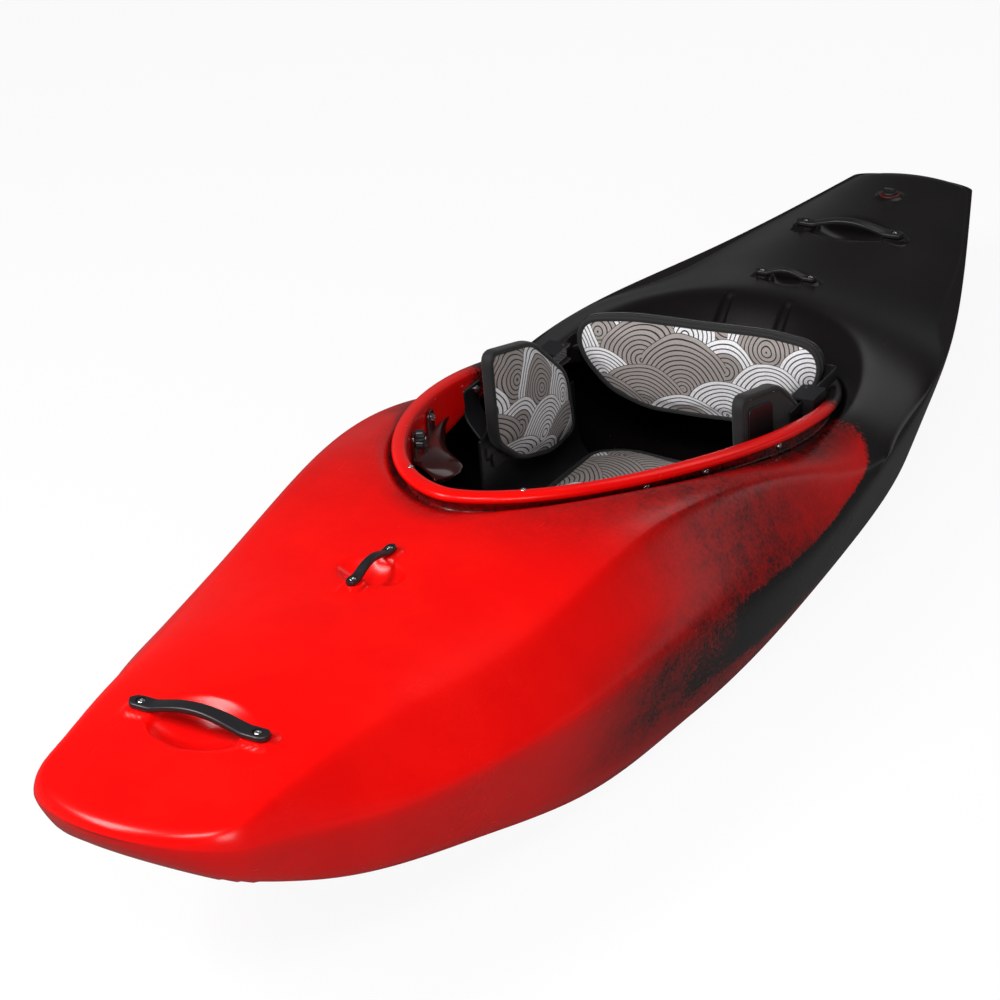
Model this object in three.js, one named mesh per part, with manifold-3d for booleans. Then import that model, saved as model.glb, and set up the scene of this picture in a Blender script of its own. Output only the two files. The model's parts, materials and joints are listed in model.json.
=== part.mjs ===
import * as THREE from 'three';
import { mergeVertices } from 'three/addons/utils/BufferGeometryUtils.js';
import Module from 'manifold-3d';

// A whitewater kayak. Millimetres, +Z up, bow at -Y, port side at +X.
// The origin is on the ground under the middle of the boat.

const wasm = await Module();
wasm.setup();

// Driving sizes of the moulding
const boatLength = 2328;
const halfBeam = 337;
const hullDepth = 327;
const wall = 6;
const clearance = 0.3;
const gunwaleRound = 10;
const hullEdgeRound = 8;
const shoulderRound = 12;
const chineRound = 20;
const planingHalfWidth = 150;
const bottomVeeDrop = 6;
const tailCorner = 26;

// Driving sizes of the cockpit rim
const rimCentre = 53;
const rimHalfWidth = 268.6;
const rimFront = 502;
const rimRear = 385;
const rimFrontPower = 1.7133;
const rimRearPower = 2.4;
const coamingHeight = 34;
const lipOverhang = 18;
const lipThickness = 12;
const lipWidth = 25;
const lipRound = 3;
const apronSlope = 1;
const apronRound = 20;

// Curves of the moulding: stations are shares of the length from the bow,
// heights are shares of the hull's depth, half breadths of the half beam
const breadthStationShares = [
  0, 0.014, 0.045, 0.09, 0.15, 0.25, 0.35, 0.44, 0.57, 0.69, 0.82, 0.92, 0.975, 1];
const breadthShares = [
  0, 0.346, 0.468, 0.595, 0.754, 0.886, 0.96, 1.002, 0.998, 0.934, 0.711, 0.487, 0.36, 0.3];
const sheerStationShares = [0, 0.045, 0.1, 0.15, 0.227, 0.333, 0.495, 0.666, 0.838, 1];
const sheerShares = [0.865, 0.785, 0.696, 0.668, 0.615, 0.556, 0.445, 0.52, 0.524, 0.604];
const keelStationShares = [0, 0.085, 0.17, 0.256, 0.34, 0.43, 0.6, 0.74, 0.84, 0.92, 1];
const keelShares = [0.79, 0.406, 0.229, 0.062, 0.014, -0.006, -0.006, 0.037, 0.138, 0.26, 0.382];
const deckStationShares = [
  0, 0.04, 0.128, 0.235, 0.342, 0.47, 0.6, 0.71, 0.753, 0.863, 0.9376, 1];
const deckShares = [
  0.911, 0.944, 0.998, 0.991, 1.045, 0.925, 0.801, 0.746, 0.703, 0.657, 0.638, 0.637];
const crownStationShares = [0, 0.04, 0.128, 0.235, 0.342, 0.47, 0.6, 0.71, 0.79, 0.863, 1];
const crownShares = [0.149, 0.149, 0.243, 0.194, 0.149, 0.174, 0.32, 0.243, 0.313, 0.347, 0.347];
const deckSlopeStationShares = [0, 0.02, 0.119, 0.227, 0.335, 0.4645, 0.6, 0.72, 0.79, 0.86, 1];
const deckSlopeShares = [1.72, 1.94, 1.17, 1.09, 1.56, 2.1, 1.61, 0.75, 0.45, 0.5, 0.85];
const hullSlopeStationShares = [0, 0.17, 0.34, 0.5, 0.67, 0.84, 1];
const hullSlopeShares = [1.83, 2.09, 2.93, 2.37, 2.65, 1.8, 1.48];
const rimStationShares = [0, 0.284, 0.566, 0.735, 0.848, 1];
const rimShares = [1.064, 0.945, 0.803, 0.705, 0.639, 0.6];

// Handles, their screws and the hollows under them
const bigHandle = {
  spacing: 160, end: 30, width: 22, endThickness: 8, thickness: 9, rise: 15,
  hollowHalfWidth: 60, hollowHalfLength: 44, hollowDepth: 26 };
const smallBar = {
  spacing: 84, end: 20, width: 14, endThickness: 6.5, thickness: 7, rise: 10,
  hollowHalfWidth: 27, hollowHalfLength: 40, hollowDepth: 18 };
const bowHandleInset = 186;
const sternHandleInset = 304.5;
const frontBarGap = 167.5;
const rearBarGap = 164.5;
const bowHandleY = -boatLength / 2 + bowHandleInset;
const frontBarY = rimCentre - rimFront - frontBarGap;
const rearBarY = rimCentre + rimRear + rearBarGap;
const sternHandleY = boatLength / 2 - sternHandleInset;
const gripBendShare = 0.6;
const bowlEdgeShare = 2 / 3;
const bossRise = 2.5;
const bossRadius = 14;
const smallBossRadius = 10;
const bossRoot = 5;
const screwHeadRadius = 5;
const screwHeadHeight = 2.6;
const screwShankRadius = 2.5;
const screwLength = 20;

// Drain plug
const drainInset = 130;
const drainY = boatLength / 2 - drainInset;
const drainGripShare = 0.8;
const drainBossRadius = 21;
const drainFlangeRadius = 18;
const drainFlangeThickness = 2;
const drainSleeveRadius = 14;
const drainSleeveDepth = 16;
const drainBoreRadius = 10;
const drainStemLength = 14;
const drainCapRadius = 13;
const drainCapThickness = 3;
const drainGripHeight = 7;
const drainGripWidth = 4;

// Foam pillars under the decks
const pillarWidth = 70;
const pillarEndInset = 164;
const frontPillarOverlap = 9;
const rearPillarGap = 92;
const frontPillarFrom = -boatLength / 2 + pillarEndInset;
const frontPillarTo = rimCentre - rimFront + frontPillarOverlap;
const rearPillarFrom = rimCentre + rimRear + rearPillarGap;
const rearPillarTo = boatLength / 2 - pillarEndInset;
const pillarStep = 28;
const pillarTopGap = 2;

// Seat, hip pads and their plates
const seatFrom = -10;
const seatTo = 275;
const seatThickness = 5;
const neckInside = rimHalfWidth - lipOverhang - wall;
const wingGap = 33.7;
const wingInside = neckInside - wingGap;
const panHalfWidth = 130;
const panRiseShare = 0.426;
const seatTabFrom = 0;
const seatTabTo = 46;
const seatTabThickness = 8.6;
const seatTabInside = neckInside - seatTabThickness;
const seatTabReach = neckInside + wall / 2;
const seatTabBend = 40;
const seatTabDrop = 10.6;
const seatTabHeight = 82;
const wingRise = 22;
const seatPadHalfWidth = 160;
const seatPadFrom = 0;
const seatPadTo = 262;
const seatPadFront = 34;
const seatPadRear = 52;
const seatPadDish = 6;
const seatPadSideRise = 26;
const hipPadThickness = 32;
const hipPlateThickness = 3;
const hipPadOutside = wingInside - hipPlateThickness - clearance * 3;
const hipPadCrown = 6;
const hipPadRoll = 8;
const hipPlateRise = 104;
const hipPlateDrop = 72;
const hipPlateSlant = 18;
const hipPlateCorner = 9;
const hipPlateFrom = 16;
const hipPlateTo = 92;
const hipPadFootShare = 0.415;
const hipPadFrom = 0;
const hipPadLength = 240;
const hipPadHeightShare = 1.268;

// Backband with its straps and ratchets
const bandShift = -4;
const bandFromRim = 142;
const bandY = rimCentre + rimRear - bandFromRim;
const bandYaw = 5;
const bandSideGap = 10.9;
const bandHalfWidth = wingInside - bandSideGap;
const bandRise = 54;
const bandHeight = 160;
const bandPadThickness = 20;
const bandPadCrown = 7;
const bandPadMargin = 3;
const bandShellThickness = 4;
const strapThickness = 2.5;
const strapInside = wingInside - strapThickness + clearance / 3;
const strapHalfHeight = 10;
const strapRise = 11.5;
const strapFront = 150;
const ratchetFrom = 190;
const ratchetTo = 236;
const ratchetCheek = 3;
const cheekReach = 16.5;
const ratchetInside = strapInside - cheekReach;
const ratchetBase = 19.5;
const ratchetReach = strapInside + ratchetBase;
const leverLength = 40;
const leverCorner = 1.6;
const leverPinRadius = 2;
const leverPinInset = 8;

// Thigh braces
const braceThickness = 6;
const braceDrop = 36;
const braceFlangeTop = 14;
const braceFlangeThickness = 5;
const braceTipGap = 156.6;
const braceTipX = rimHalfWidth - braceTipGap;
const braceTipFromRim = 173;
const braceTipY = rimCentre - rimFront + braceTipFromRim;
const braceTipWidth = 84;
const braceHookShare = 0.25;
const bracePadThickness = 8;
const bracePadMargin = 8;

// Bolts through the coaming's neck, and the two screws in the front of its lip
const boltRadius = 3;
const boltHeadRadius = 5.5;
const boltCrownShare = 0.8;
const boltBoreLength = 30;
const boltHeadHeight = 3;
const boltDrop = 25;
const nutHeight = 4;
const lipScrewRadius = 2;
const lipScrewHeadRadius = 4;
const lipScrewHeadHeight = 2.4;
const lipScrewLength = 9;
const lipScrewSink = 1;

// Footrest
const railSideGap = 123;
const railX = halfBeam - railSideGap;
const railWidth = 8;
const railHeight = 26;
const railZ = 150;
const railLength = 320;
const railGap = 1;
const railTo = rimCentre - rimFront - railGap;
const railFrom = railTo - railLength;
const railFootLength = 36;
const footPlateY = (railFrom + railTo) / 2;
const footPlateThickness = 6;
const footPlateDrop = 65;
const footPlateTop = hullDepth - footPlateDrop;
const footPlateFoot = 82;
const footPlateInside = 46;
const footPlateCorner = 26;
const footPadThickness = 12;
const footPadMargin = 12;
const footClampLength = 40;
const footClampThickness = 5;
const lockPinRadius = 3;
const lockBoreLength = 10;
const lockKnobRadius = 8;
const lockKnobLength = 12;

// Mesh fineness
const quarterColumns = 13;
const edgeRowShares = [0.2, 0.8, 2.4];
const deckRowShares = [0.14, 0.3, 0.46, 0.62, 0.78, 0.9, 1];
const sideRowShares = [0.25, 1, 3.25, 7.5];
const hullRowShares = [0.22, 0.6, 1];
const cushionFootShare = 0.5;
const cushionShoulderShare = 0.6;
const cushionCrownShares = [0.55, 0.2];
const seatPadEdgeShare = 0.7;
const seatPadEdgeSlope = 4;
const padOutlinePoints = 30;
const roundSides = 14;
const smallSides = 12;

// Returns the natural cubic curve through the given values at the given stations
function curveThrough(stations, values) {
  const last = stations.length - 1;
  const bend = new Array(last + 1).fill(0);
  const spare = new Array(last + 1).fill(0);
  for (let i = 1; i < last; i += 1) {
    const before = stations[i] - stations[i - 1];
    const after = stations[i + 1] - stations[i];
    const weight = before / (before + after);
    const pivot = weight * bend[i - 1] + 2;
    const jump = (values[i + 1] - values[i]) / after - (values[i] - values[i - 1]) / before;
    bend[i] = (weight - 1) / pivot;
    spare[i] = ((6 * jump) / (before + after) - weight * spare[i - 1]) / pivot;
  }
  for (let i = last - 1; i >= 0; i -= 1) {
    bend[i] = bend[i] * bend[i + 1] + spare[i];
  }
  bend[0] = 0;
  return (station) => {
    const x = Math.min(Math.max(station, stations[0]), stations[last]);
    let k = 0;
    while (k < last - 1 && x > stations[k + 1]) k += 1;
    const gap = stations[k + 1] - stations[k];
    const a = (stations[k + 1] - x) / gap;
    const b = (x - stations[k]) / gap;
    const cubic = (a ** 3 - a) * bend[k] + (b ** 3 - b) * bend[k + 1];
    return a * values[k] + b * values[k + 1] + (cubic * gap * gap) / 6;
  };
}

const breadthCurve = curveThrough(breadthStationShares, breadthShares.map((share) => share ** 2));
const sheerCurve = curveThrough(sheerStationShares, sheerShares);
const keelCurve = curveThrough(keelStationShares, keelShares);
const deckCurve = curveThrough(deckStationShares, deckShares);
const crownCurve = curveThrough(crownStationShares, crownShares);
const deckSlopeCurve = curveThrough(deckSlopeStationShares, deckSlopeShares);
const hullSlopeCurve = curveThrough(hullSlopeStationShares, hullSlopeShares);
const rimCurve = curveThrough(rimStationShares, rimShares);

const bowY = -boatLength / 2;
const sternY = boatLength / 2;

function stationOf(y) {
  return (y - bowY) / boatLength;
}

// Square of the half breadth, drawn in over the last stretch for the tail's round corners
function breadthSquared(y) {
  const full = Math.max(breadthCurve(stationOf(y)), 0) * halfBeam ** 2;
  const intoCorner = Math.max(y - (sternY - tailCorner), 0) / tailCorner;
  return full * Math.max(1 - intoCorner ** 2, 0);
}

function sheerHeight(y) {
  return sheerCurve(stationOf(y)) * hullDepth;
}

// Distance in from the outline, to first order
function insetOf(x, y) {
  const step = wall / 50;
  const slope = (breadthSquared(y + step) - breadthSquared(y - step)) / (2 * step);
  const room = Math.max(breadthSquared(y) - x * x, 0);
  return room / Math.sqrt(slope * slope + 4 * x * x + step * step);
}

function softMin(a, b, round) {
  return (a + b - Math.sqrt((a - b) ** 2 + round ** 2)) / 2;
}

// A side that leaves the edge upright and soon runs on at its own slope
function roundedRun(inset, round) {
  return Math.sqrt(inset * (inset + 2 * round));
}

function rimHeight(y) {
  return rimCurve((y - rimCentre + rimFront) / (rimFront + rimRear)) * hullDepth;
}

function rimReach(along) {
  return along < 0 ? rimFront : rimRear;
}

function rimPower(along) {
  return along < 0 ? rimFrontPower : rimRearPower;
}

// Distance out from the rim's outer edge along the line from the cockpit's centre
function rimGap(x, y) {
  const along = y - rimCentre;
  const power = rimPower(along);
  const across = (Math.abs(x) / rimHalfWidth) ** power;
  const size = (across + (Math.abs(along) / rimReach(along)) ** power) ** (1 / power);
  return Math.hypot(x, along) * (1 - 1 / Math.max(size, Number.EPSILON));
}

function deckHeight(x, y) {
  const station = stationOf(y);
  const side = sheerHeight(y) + deckSlopeCurve(station) * roundedRun(insetOf(x, y), gunwaleRound);
  const drop = crownCurve(station) * (x / halfBeam) ** 2;
  const crowned = (deckCurve(station) - drop) * hullDepth;
  const apronFoot = rimHeight(y) - coamingHeight;
  const apron = apronFoot + apronSlope * Math.max(rimGap(x, y) + lipOverhang, 0);
  const deck = softMin(softMin(side, crowned, shoulderRound), apron, apronRound);
  return Math.max(deck, sheerHeight(y));
}

function bottomHeight(x, y) {
  const station = stationOf(y);
  const side = sheerHeight(y) - hullSlopeCurve(station) * roundedRun(insetOf(x, y), hullEdgeRound);
  const outFromFlat = Math.max(Math.abs(x) - planingHalfWidth, 0) / (halfBeam - planingHalfWidth);
  const keel = Math.max(keelCurve(station) * hullDepth, 0) + bottomVeeDrop * outFromFlat ** 2;
  const blend = -softMin(-side, -keel, chineRound);
  const flat = side < keel - chineRound * 2 ? keel : blend;
  return Math.min(flat, sheerHeight(y));
}

// Outward unit normal of a height surface; up is 1 on the deck and -1 on the bottom
function surfaceNormal(height, x, y, up) {
  const step = wall / 12;
  const slopeX = (height(x + step, y) - height(x - step, y)) / (2 * step);
  const slopeY = (height(x, y + step) - height(x, y - step)) / (2 * step);
  return new THREE.Vector3(-slopeX * up, -slopeY * up, up).normalize();
}

function skinPair(height, x, y, up) {
  const outer = new THREE.Vector3(x, y, height(x, y));
  const inner = outer.clone().addScaledVector(surfaceNormal(height, x, y, up), -wall);
  return [outer, inner];
}

// The outline, rim and keel points that one column of the moulding runs through
function columnPoints(sine, side) {
  const reach = sine < 0 ? rimCentre - bowY : sternY - rimCentre;
  const y = rimCentre + reach * sine;
  const tip = Math.abs(sine) === 1;
  const x = tip ? 0 : side * Math.sqrt(breadthSquared(y));
  const power = rimPower(sine);
  const rimX = tip ? 0 : side * rimHalfWidth * (1 - Math.abs(sine) ** power) ** (1 / power);
  const rim = new THREE.Vector2(rimX, rimCentre + rimReach(sine) * sine);
  const keelRunShare = 0.84;
  return { edge: new THREE.Vector2(x, y), rim, keel: new THREE.Vector2(0, y * keelRunShare) };
}

// A point in from the rim's outer edge, toward the cockpit's centre
function insideRim(rim, distance) {
  const centre = new THREE.Vector2(0, rimCentre);
  const arm = rim.clone().sub(centre);
  return centre.clone().addScaledVector(arm, 1 - distance / arm.length());
}

// Plan points from the edge toward a goal: fixed distances first, then shares of what is left
function planRun(edge, goal, distances, shares) {
  const run = goal.clone().sub(edge);
  const length = run.length();
  const near = distances.map((distance) => distance / length);
  const start = near[near.length - 1];
  const far = shares.map((share) => start + (1 - start) * share);
  return [...near, ...far].map((part) => edge.clone().addScaledVector(run, part));
}

// One column of the moulding's skin: keel, side, deck, lip, and back along the inside
function shellColumn(sine, side) {
  const { edge, rim, keel } = columnPoints(sine, side);
  const foot = insideRim(rim, lipOverhang);
  const nearHull = sideRowShares.map((share) => share * hullEdgeRound);
  const nearDeck = edgeRowShares.map((share) => share * gunwaleRound);
  const hullRun = planRun(edge, keel, nearHull, hullRowShares);
  const deckRun = planRun(edge, foot, nearDeck, deckRowShares);
  const hullPairs = hullRun.map((p) => skinPair(bottomHeight, p.x, p.y, -1));
  const deckPairs = deckRun.map((p) => skinPair(deckHeight, p.x, p.y, 1));
  for (const pair of hullPairs.slice(-1)) pair[1].setX(0);
  const top = rimHeight(rim.y);
  const lipPoint = (distance, drop) => {
    const p = insideRim(rim, distance);
    return new THREE.Vector3(p.x, p.y, top - drop);
  };
  const footHeight = deckPairs[deckPairs.length - 1][0].z;
  const sheer = sheerHeight(edge.y);
  const outward = new THREE.Vector2(edge.x, 0);
  const step = wall / 50;
  outward.x = 2 * edge.x;
  outward.y = -(breadthSquared(edge.y + step) - breadthSquared(edge.y - step)) / (2 * step);
  if (sine === -1 || sine === 1) outward.set(0, sine);
  outward.normalize();
  const innerEdge = new THREE.Vector3(
    edge.x - outward.x * wall, edge.y - outward.y * wall, sheer);
  const neckInside = lipOverhang + wall;
  return [
    ...hullPairs.map((pair) => pair[0]).reverse(),
    new THREE.Vector3(edge.x, edge.y, sheer),
    ...deckPairs.map((pair) => pair[0]),
    lipPoint(lipOverhang, lipThickness + lipRound),
    lipPoint(lipRound, lipThickness),
    lipPoint(0, lipThickness / 2),
    lipPoint(lipRound, lipRound / 2),
    lipPoint(lipThickness, 0),
    lipPoint(lipWidth - lipRound, 0),
    lipPoint(lipWidth, lipRound),
    lipPoint(neckInside, top - footHeight + wall),
    ...deckPairs.slice(1, -1).map((pair) => pair[1]).reverse(),
    innerEdge,
    ...hullPairs.slice(1).map((pair) => pair[1]),
  ];
}

function triangleGeometry(points, triangles) {
  const geometry = new THREE.BufferGeometry();
  geometry.setAttribute('position', new THREE.Float32BufferAttribute(points, 3));
  geometry.setIndex(triangles);
  return geometry;
}

// Columns stand all round the boat, mirrored about the centreline to the last digit
function shellGeometry() {
  const columns = [];
  const turns = [[0, 1, 1], [1, -1, -1], [0, -1, -1], [1, 1, 1]];
  turns.forEach(([fromTip, side], turn) => {
    for (let i = 0; i < quarterColumns; i += 1) {
      const k = fromTip ? quarterColumns - i : i;
      const sign = turn < 2 ? 1 : -1;
      const sine = k === quarterColumns ? sign : sign * Math.sin((k / quarterColumns) * (Math.PI / 2));
      columns.push(shellColumn(sine, side));
    }
  });
  const rows = columns[0].length;
  const points = columns.flat().flatMap((p) => p.toArray());
  const triangles = [];
  for (let c = 0; c < columns.length; c += 1) {
    const next = ((c + 1) % columns.length) * rows;
    for (let r = 0; r < rows - 1; r += 1) {
      const a = c * rows + r;
      const b = next + r;
      triangles.push(a, b, b + 1, a, b + 1, a + 1);
    }
  }
  return triangleGeometry(points, triangles);
}

function solidOf(geometry) {
  const bare = geometry.clone();
  bare.deleteAttribute('normal');
  bare.deleteAttribute('uv');
  const merged = mergeVertices(bare, wall / 6000);
  const index = merged.getIndex().array;
  const kept = [];
  for (let i = 0; i < index.length; i += 3) {
    const [a, b, c] = [index[i], index[i + 1], index[i + 2]];
    if (a !== b && b !== c && c !== a) kept.push(a, b, c);
  }
  const mesh = new wasm.Mesh({
    numProp: 3,
    vertProperties: new Float32Array(merged.getAttribute('position').array),
    triVerts: new Uint32Array(kept),
  });
  return new wasm.Manifold(mesh);
}

// The main body of a solid, without loose slivers or closed pockets
function mainBody(solid) {
  const bodies = solid.decompose();
  return bodies.reduce((best, body) => (body.volume() > best.volume() ? body : best));
}

function geometryOf(solid) {
  const mesh = solid.getMesh();
  const geometry = triangleGeometry(Array.from(mesh.vertProperties), Array.from(mesh.triVerts));
  geometry.computeVertexNormals();
  return geometry;
}

function moved(geometry, x, y, z) {
  return geometry.clone().translate(x, y, z);
}

// A box from one corner to the opposite one
function boxBetween(from, to) {
  const size = to.map((value, i) => value - from[i]);
  const box = new THREE.BoxGeometry(...size);
  return box.translate(...from.map((value, i) => value + size[i] / 2));
}

// A turned piece about the Z axis from its radii and heights
function turned(profile, sides) {
  const points = profile.map(([radius, height]) => new THREE.Vector2(radius, height));
  return new THREE.LatheGeometry(points, sides).rotateX(Math.PI / 2);
}

function rod(radius, from, to, sides) {
  return turned([[0, from], [radius, from], [radius, to], [0, to]], sides);
}

function shapeFrom(points) {
  return new THREE.Shape(points.map(([u, v]) => new THREE.Vector2(u, v)));
}

// An outline in plan, standing up from one height to another
function standing(shape, from, to) {
  const options = { depth: to - from, bevelEnabled: false, curveSegments: 5 };
  return new THREE.ExtrudeGeometry(shape, options).translate(0, 0, from);
}

// An outline seen from the side, in Y and Z, spread from one X to another
function spreadAcross(shape, from, to) {
  const options = { depth: to - from, bevelEnabled: false, curveSegments: 5 };
  const axes = new THREE.Matrix4().makeBasis(
    new THREE.Vector3(0, 1, 0), new THREE.Vector3(0, 0, 1), new THREE.Vector3(1, 0, 0));
  return new THREE.ExtrudeGeometry(shape, options).applyMatrix4(axes).translate(from, 0, 0);
}

// An outline seen from the bow, in X and Z, spread from one Y back to another
function spreadAlong(shape, from, to) {
  const options = { depth: to - from, bevelEnabled: false, curveSegments: 5 };
  const axes = new THREE.Matrix4().makeBasis(
    new THREE.Vector3(1, 0, 0), new THREE.Vector3(0, 0, 1), new THREE.Vector3(0, -1, 0));
  return new THREE.ExtrudeGeometry(shape, options).applyMatrix4(axes).translate(0, to, 0);
}

// A closed outline with its corners rounded by short curves
function roundedShape(points, radius) {
  const shape = new THREE.Shape();
  const corners = points.map(([u, v]) => new THREE.Vector2(u, v));
  corners.forEach((corner, i) => {
    const before = corners[(i + corners.length - 1) % corners.length];
    const after = corners[(i + 1) % corners.length];
    const start = before.clone().sub(corner).setLength(radius).add(corner);
    const end = after.clone().sub(corner).setLength(radius).add(corner);
    if (i === 0) shape.moveTo(start.x, start.y);
    else shape.lineTo(start.x, start.y);
    shape.quadraticCurveTo(corner.x, corner.y, end.x, end.y);
  });
  shape.closePath();
  return shape;
}

// A cushion on a flat outline: a drawn-in edge at the back and front, a crown in the middle
function cushionGeometry(outline, thickness, crown, roll) {
  const centre = outline.reduce((sum, p) => sum.add(p), new THREE.Vector2());
  centre.divideScalar(outline.length);
  const top = thickness + crown;
  const half = roll / 2;
  const rings = [
    [cushionFootShare, 0, 0], [1, half, 0], [1, 0, half], [1, 0, thickness - half], [1, half, thickness],
    [1, roll * 2, thickness + crown * cushionShoulderShare],
    ...cushionCrownShares.map((share) => [share, 0, top])];
  const points = [];
  for (const [share, drawn, height] of rings) {
    outline.forEach((p) => {
      const arm = p.clone().sub(centre);
      const scale = share - drawn / arm.length();
      points.push(centre.x + arm.x * scale, centre.y + arm.y * scale, height);
    });
  }
  const ringCount = rings.length;
  const n = outline.length;
  const triangles = [];
  for (let r = 0; r < ringCount - 1; r += 1) {
    for (let i = 0; i < n; i += 1) {
      const j = (i + 1) % n;
      const a = r * n + i;
      const b = r * n + j;
      triangles.push(a, b, b + n, a, b + n, a + n);
    }
  }
  const low = points.length / 3;
  points.push(centre.x, centre.y, 0);
  const high = low + 1;
  points.push(centre.x, centre.y, top);
  for (let i = 0; i < n; i += 1) {
    const j = (i + 1) % n;
    triangles.push(low, j, i);
    const topRing = (ringCount - 1) * n;
    triangles.push(high, topRing + i, topRing + j);
  }
  return triangleGeometry(points, triangles);
}

const materials = {
  shell: new THREE.MeshStandardMaterial({ color: 0xd80a08, roughness: 0.35, metalness: 0 }),
  blackPlastic: new THREE.MeshStandardMaterial({ color: 0x1b1a1c, roughness: 0.5, metalness: 0 }),
  glossPlastic: new THREE.MeshStandardMaterial({ color: 0x241a1a, roughness: 0.15, metalness: 0 }),
  steel: new THREE.MeshStandardMaterial({ color: 0xb8b8ba, roughness: 0.3, metalness: 1 }),
  foam: new THREE.MeshStandardMaterial({ color: 0x2a2a2c, roughness: 0.95, metalness: 0 }),
  printedFabric: new THREE.MeshStandardMaterial({ color: 0x8f8a88, roughness: 0.9, metalness: 0 }),
};

const kayak = new THREE.Group();

function place(name, geometry, material) {
  const mesh = new THREE.Mesh(geometry, material);
  mesh.name = name;
  kayak.add(mesh);
  return mesh;
}

const sides = [['left', 1], ['right', -1]];

// Mirrors a port piece to starboard, keeping its faces outward
function onSide(geometry, side) {
  if (side > 0) return geometry;
  const mirrored = geometry.clone().scale(-1, 1, 1);
  const plain = mirrored.getIndex() ? mirrored : mergeVertices(mirrored);
  const index = Array.from(plain.getIndex().array);
  for (let i = 0; i < index.length; i += 3) {
    [index[i], index[i + 1]] = [index[i + 1], index[i]];
  }
  plain.setIndex(index);
  return plain;
}

// Handles: where each one stands, its screws' places, and which way it runs
const handles = [
  { name: 'bow_handle', sizes: bigHandle, y: bowHandleY, turn: 0, boss: bossRadius },
  { name: 'front_security_bar', sizes: smallBar, y: frontBarY, turn: Math.PI / 2, boss: smallBossRadius },
  { name: 'rear_security_bar', sizes: smallBar, y: rearBarY, turn: 0, boss: smallBossRadius },
  { name: 'stern_handle', sizes: bigHandle, y: sternHandleY, turn: 0, boss: bossRadius },
];

for (const handle of handles) {
  const half = handle.sizes.spacing / 2;
  handle.screws = [-half, half].map((u) => [
    u * Math.cos(handle.turn), handle.y + u * Math.sin(handle.turn)]);
  const inner = half - handle.sizes.end / 2;
  const feet = handle.screws.map(([x, y]) => deckHeight(x, y) + bossRise);
  const under = [-inner, inner].map((u) => bossRise / 2 + deckHeight(
    u * Math.cos(handle.turn), handle.y + u * Math.sin(handle.turn)));
  handle.seat = Math.max(...feet, ...under);
}

// A bowl's solid: the inside is opened upward, the outside is cut off within the deck's wall
function bowl(halfX, halfY, depth, top) {
  const depthShares = [[0, 1], [0.35, 0.9], [0.62, 0.68], [0.84, 0.34], [1, 0]];
  const curve = depthShares.map(([radius, share]) => [radius, Math.min(-share * depth, top)]);
  const profile = [...curve, [1, top], [0, top]];
  return turned(profile, roundSides).scale(halfX, halfY, 1);
}

function hollowFor(handle) {
  const { hollowHalfWidth, hollowHalfLength, hollowDepth } = handle.sizes;
  const across = handle.turn === 0;
  const halfX = across ? hollowHalfWidth : hollowHalfLength;
  const halfY = across ? hollowHalfLength : hollowHalfWidth;
  const deck = deckHeight(0, handle.y);
  const inside = moved(bowl(halfX, halfY, hollowDepth, coamingHeight), 0, handle.y, deck);
  const outsideTop = -wall * bowlEdgeShare;
  const outside = bowl(halfX + wall, halfY + wall, hollowDepth + wall, outsideTop);
  return [inside, moved(outside, 0, handle.y, deck)];
}

// The middle and the outward direction of the coaming neck's flat between two columns
function neckFacet(column, side) {
  const ends = [column, column + 1].map((k) => {
    const sine = -Math.sin((k / quarterColumns) * (Math.PI / 2));
    const { rim } = columnPoints(sine, side);
    return { inside: insideRim(rim, lipOverhang), height: rimHeight(rim.y) };
  });
  const [from, to] = ends.map((end) => end.inside);
  const middle = from.clone().add(to).divideScalar(2);
  const along = to.clone().sub(from).normalize();
  const outward = new THREE.Vector3(-side * along.y, side * along.x, 0);
  if (outward.x * side < 0) outward.negate();
  return { middle, outward, height: (ends[0].height + ends[1].height) / 2 };
}

// Places a piece that is turned about Z so that it points out through the neck
function throughNeck(geometry, facet) {
  const up = new THREE.Vector3(0, 0, 1);
  const turn = new THREE.Quaternion().setFromUnitVectors(up, facet.outward);
  return geometry.clone().applyQuaternion(turn)
    .translate(facet.middle.x, facet.middle.y, facet.height - boltDrop);
}

function boltBore(facet) {
  return solidOf(throughNeck(rod(boltRadius + clearance, -boltBoreLength, wall, smallSides), facet));
}

// Where the bolts sit: columns counted forward from the cockpit's widest place
const seatBoltColumn = 0;
const braceBoltColumns = [3, 5];
const lipScrewColumn = 9;

function lipScrewPlace(side) {
  const { middle, height } = neckFacet(lipScrewColumn, side);
  return [middle.x, middle.y, height - lipScrewSink];
}

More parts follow.
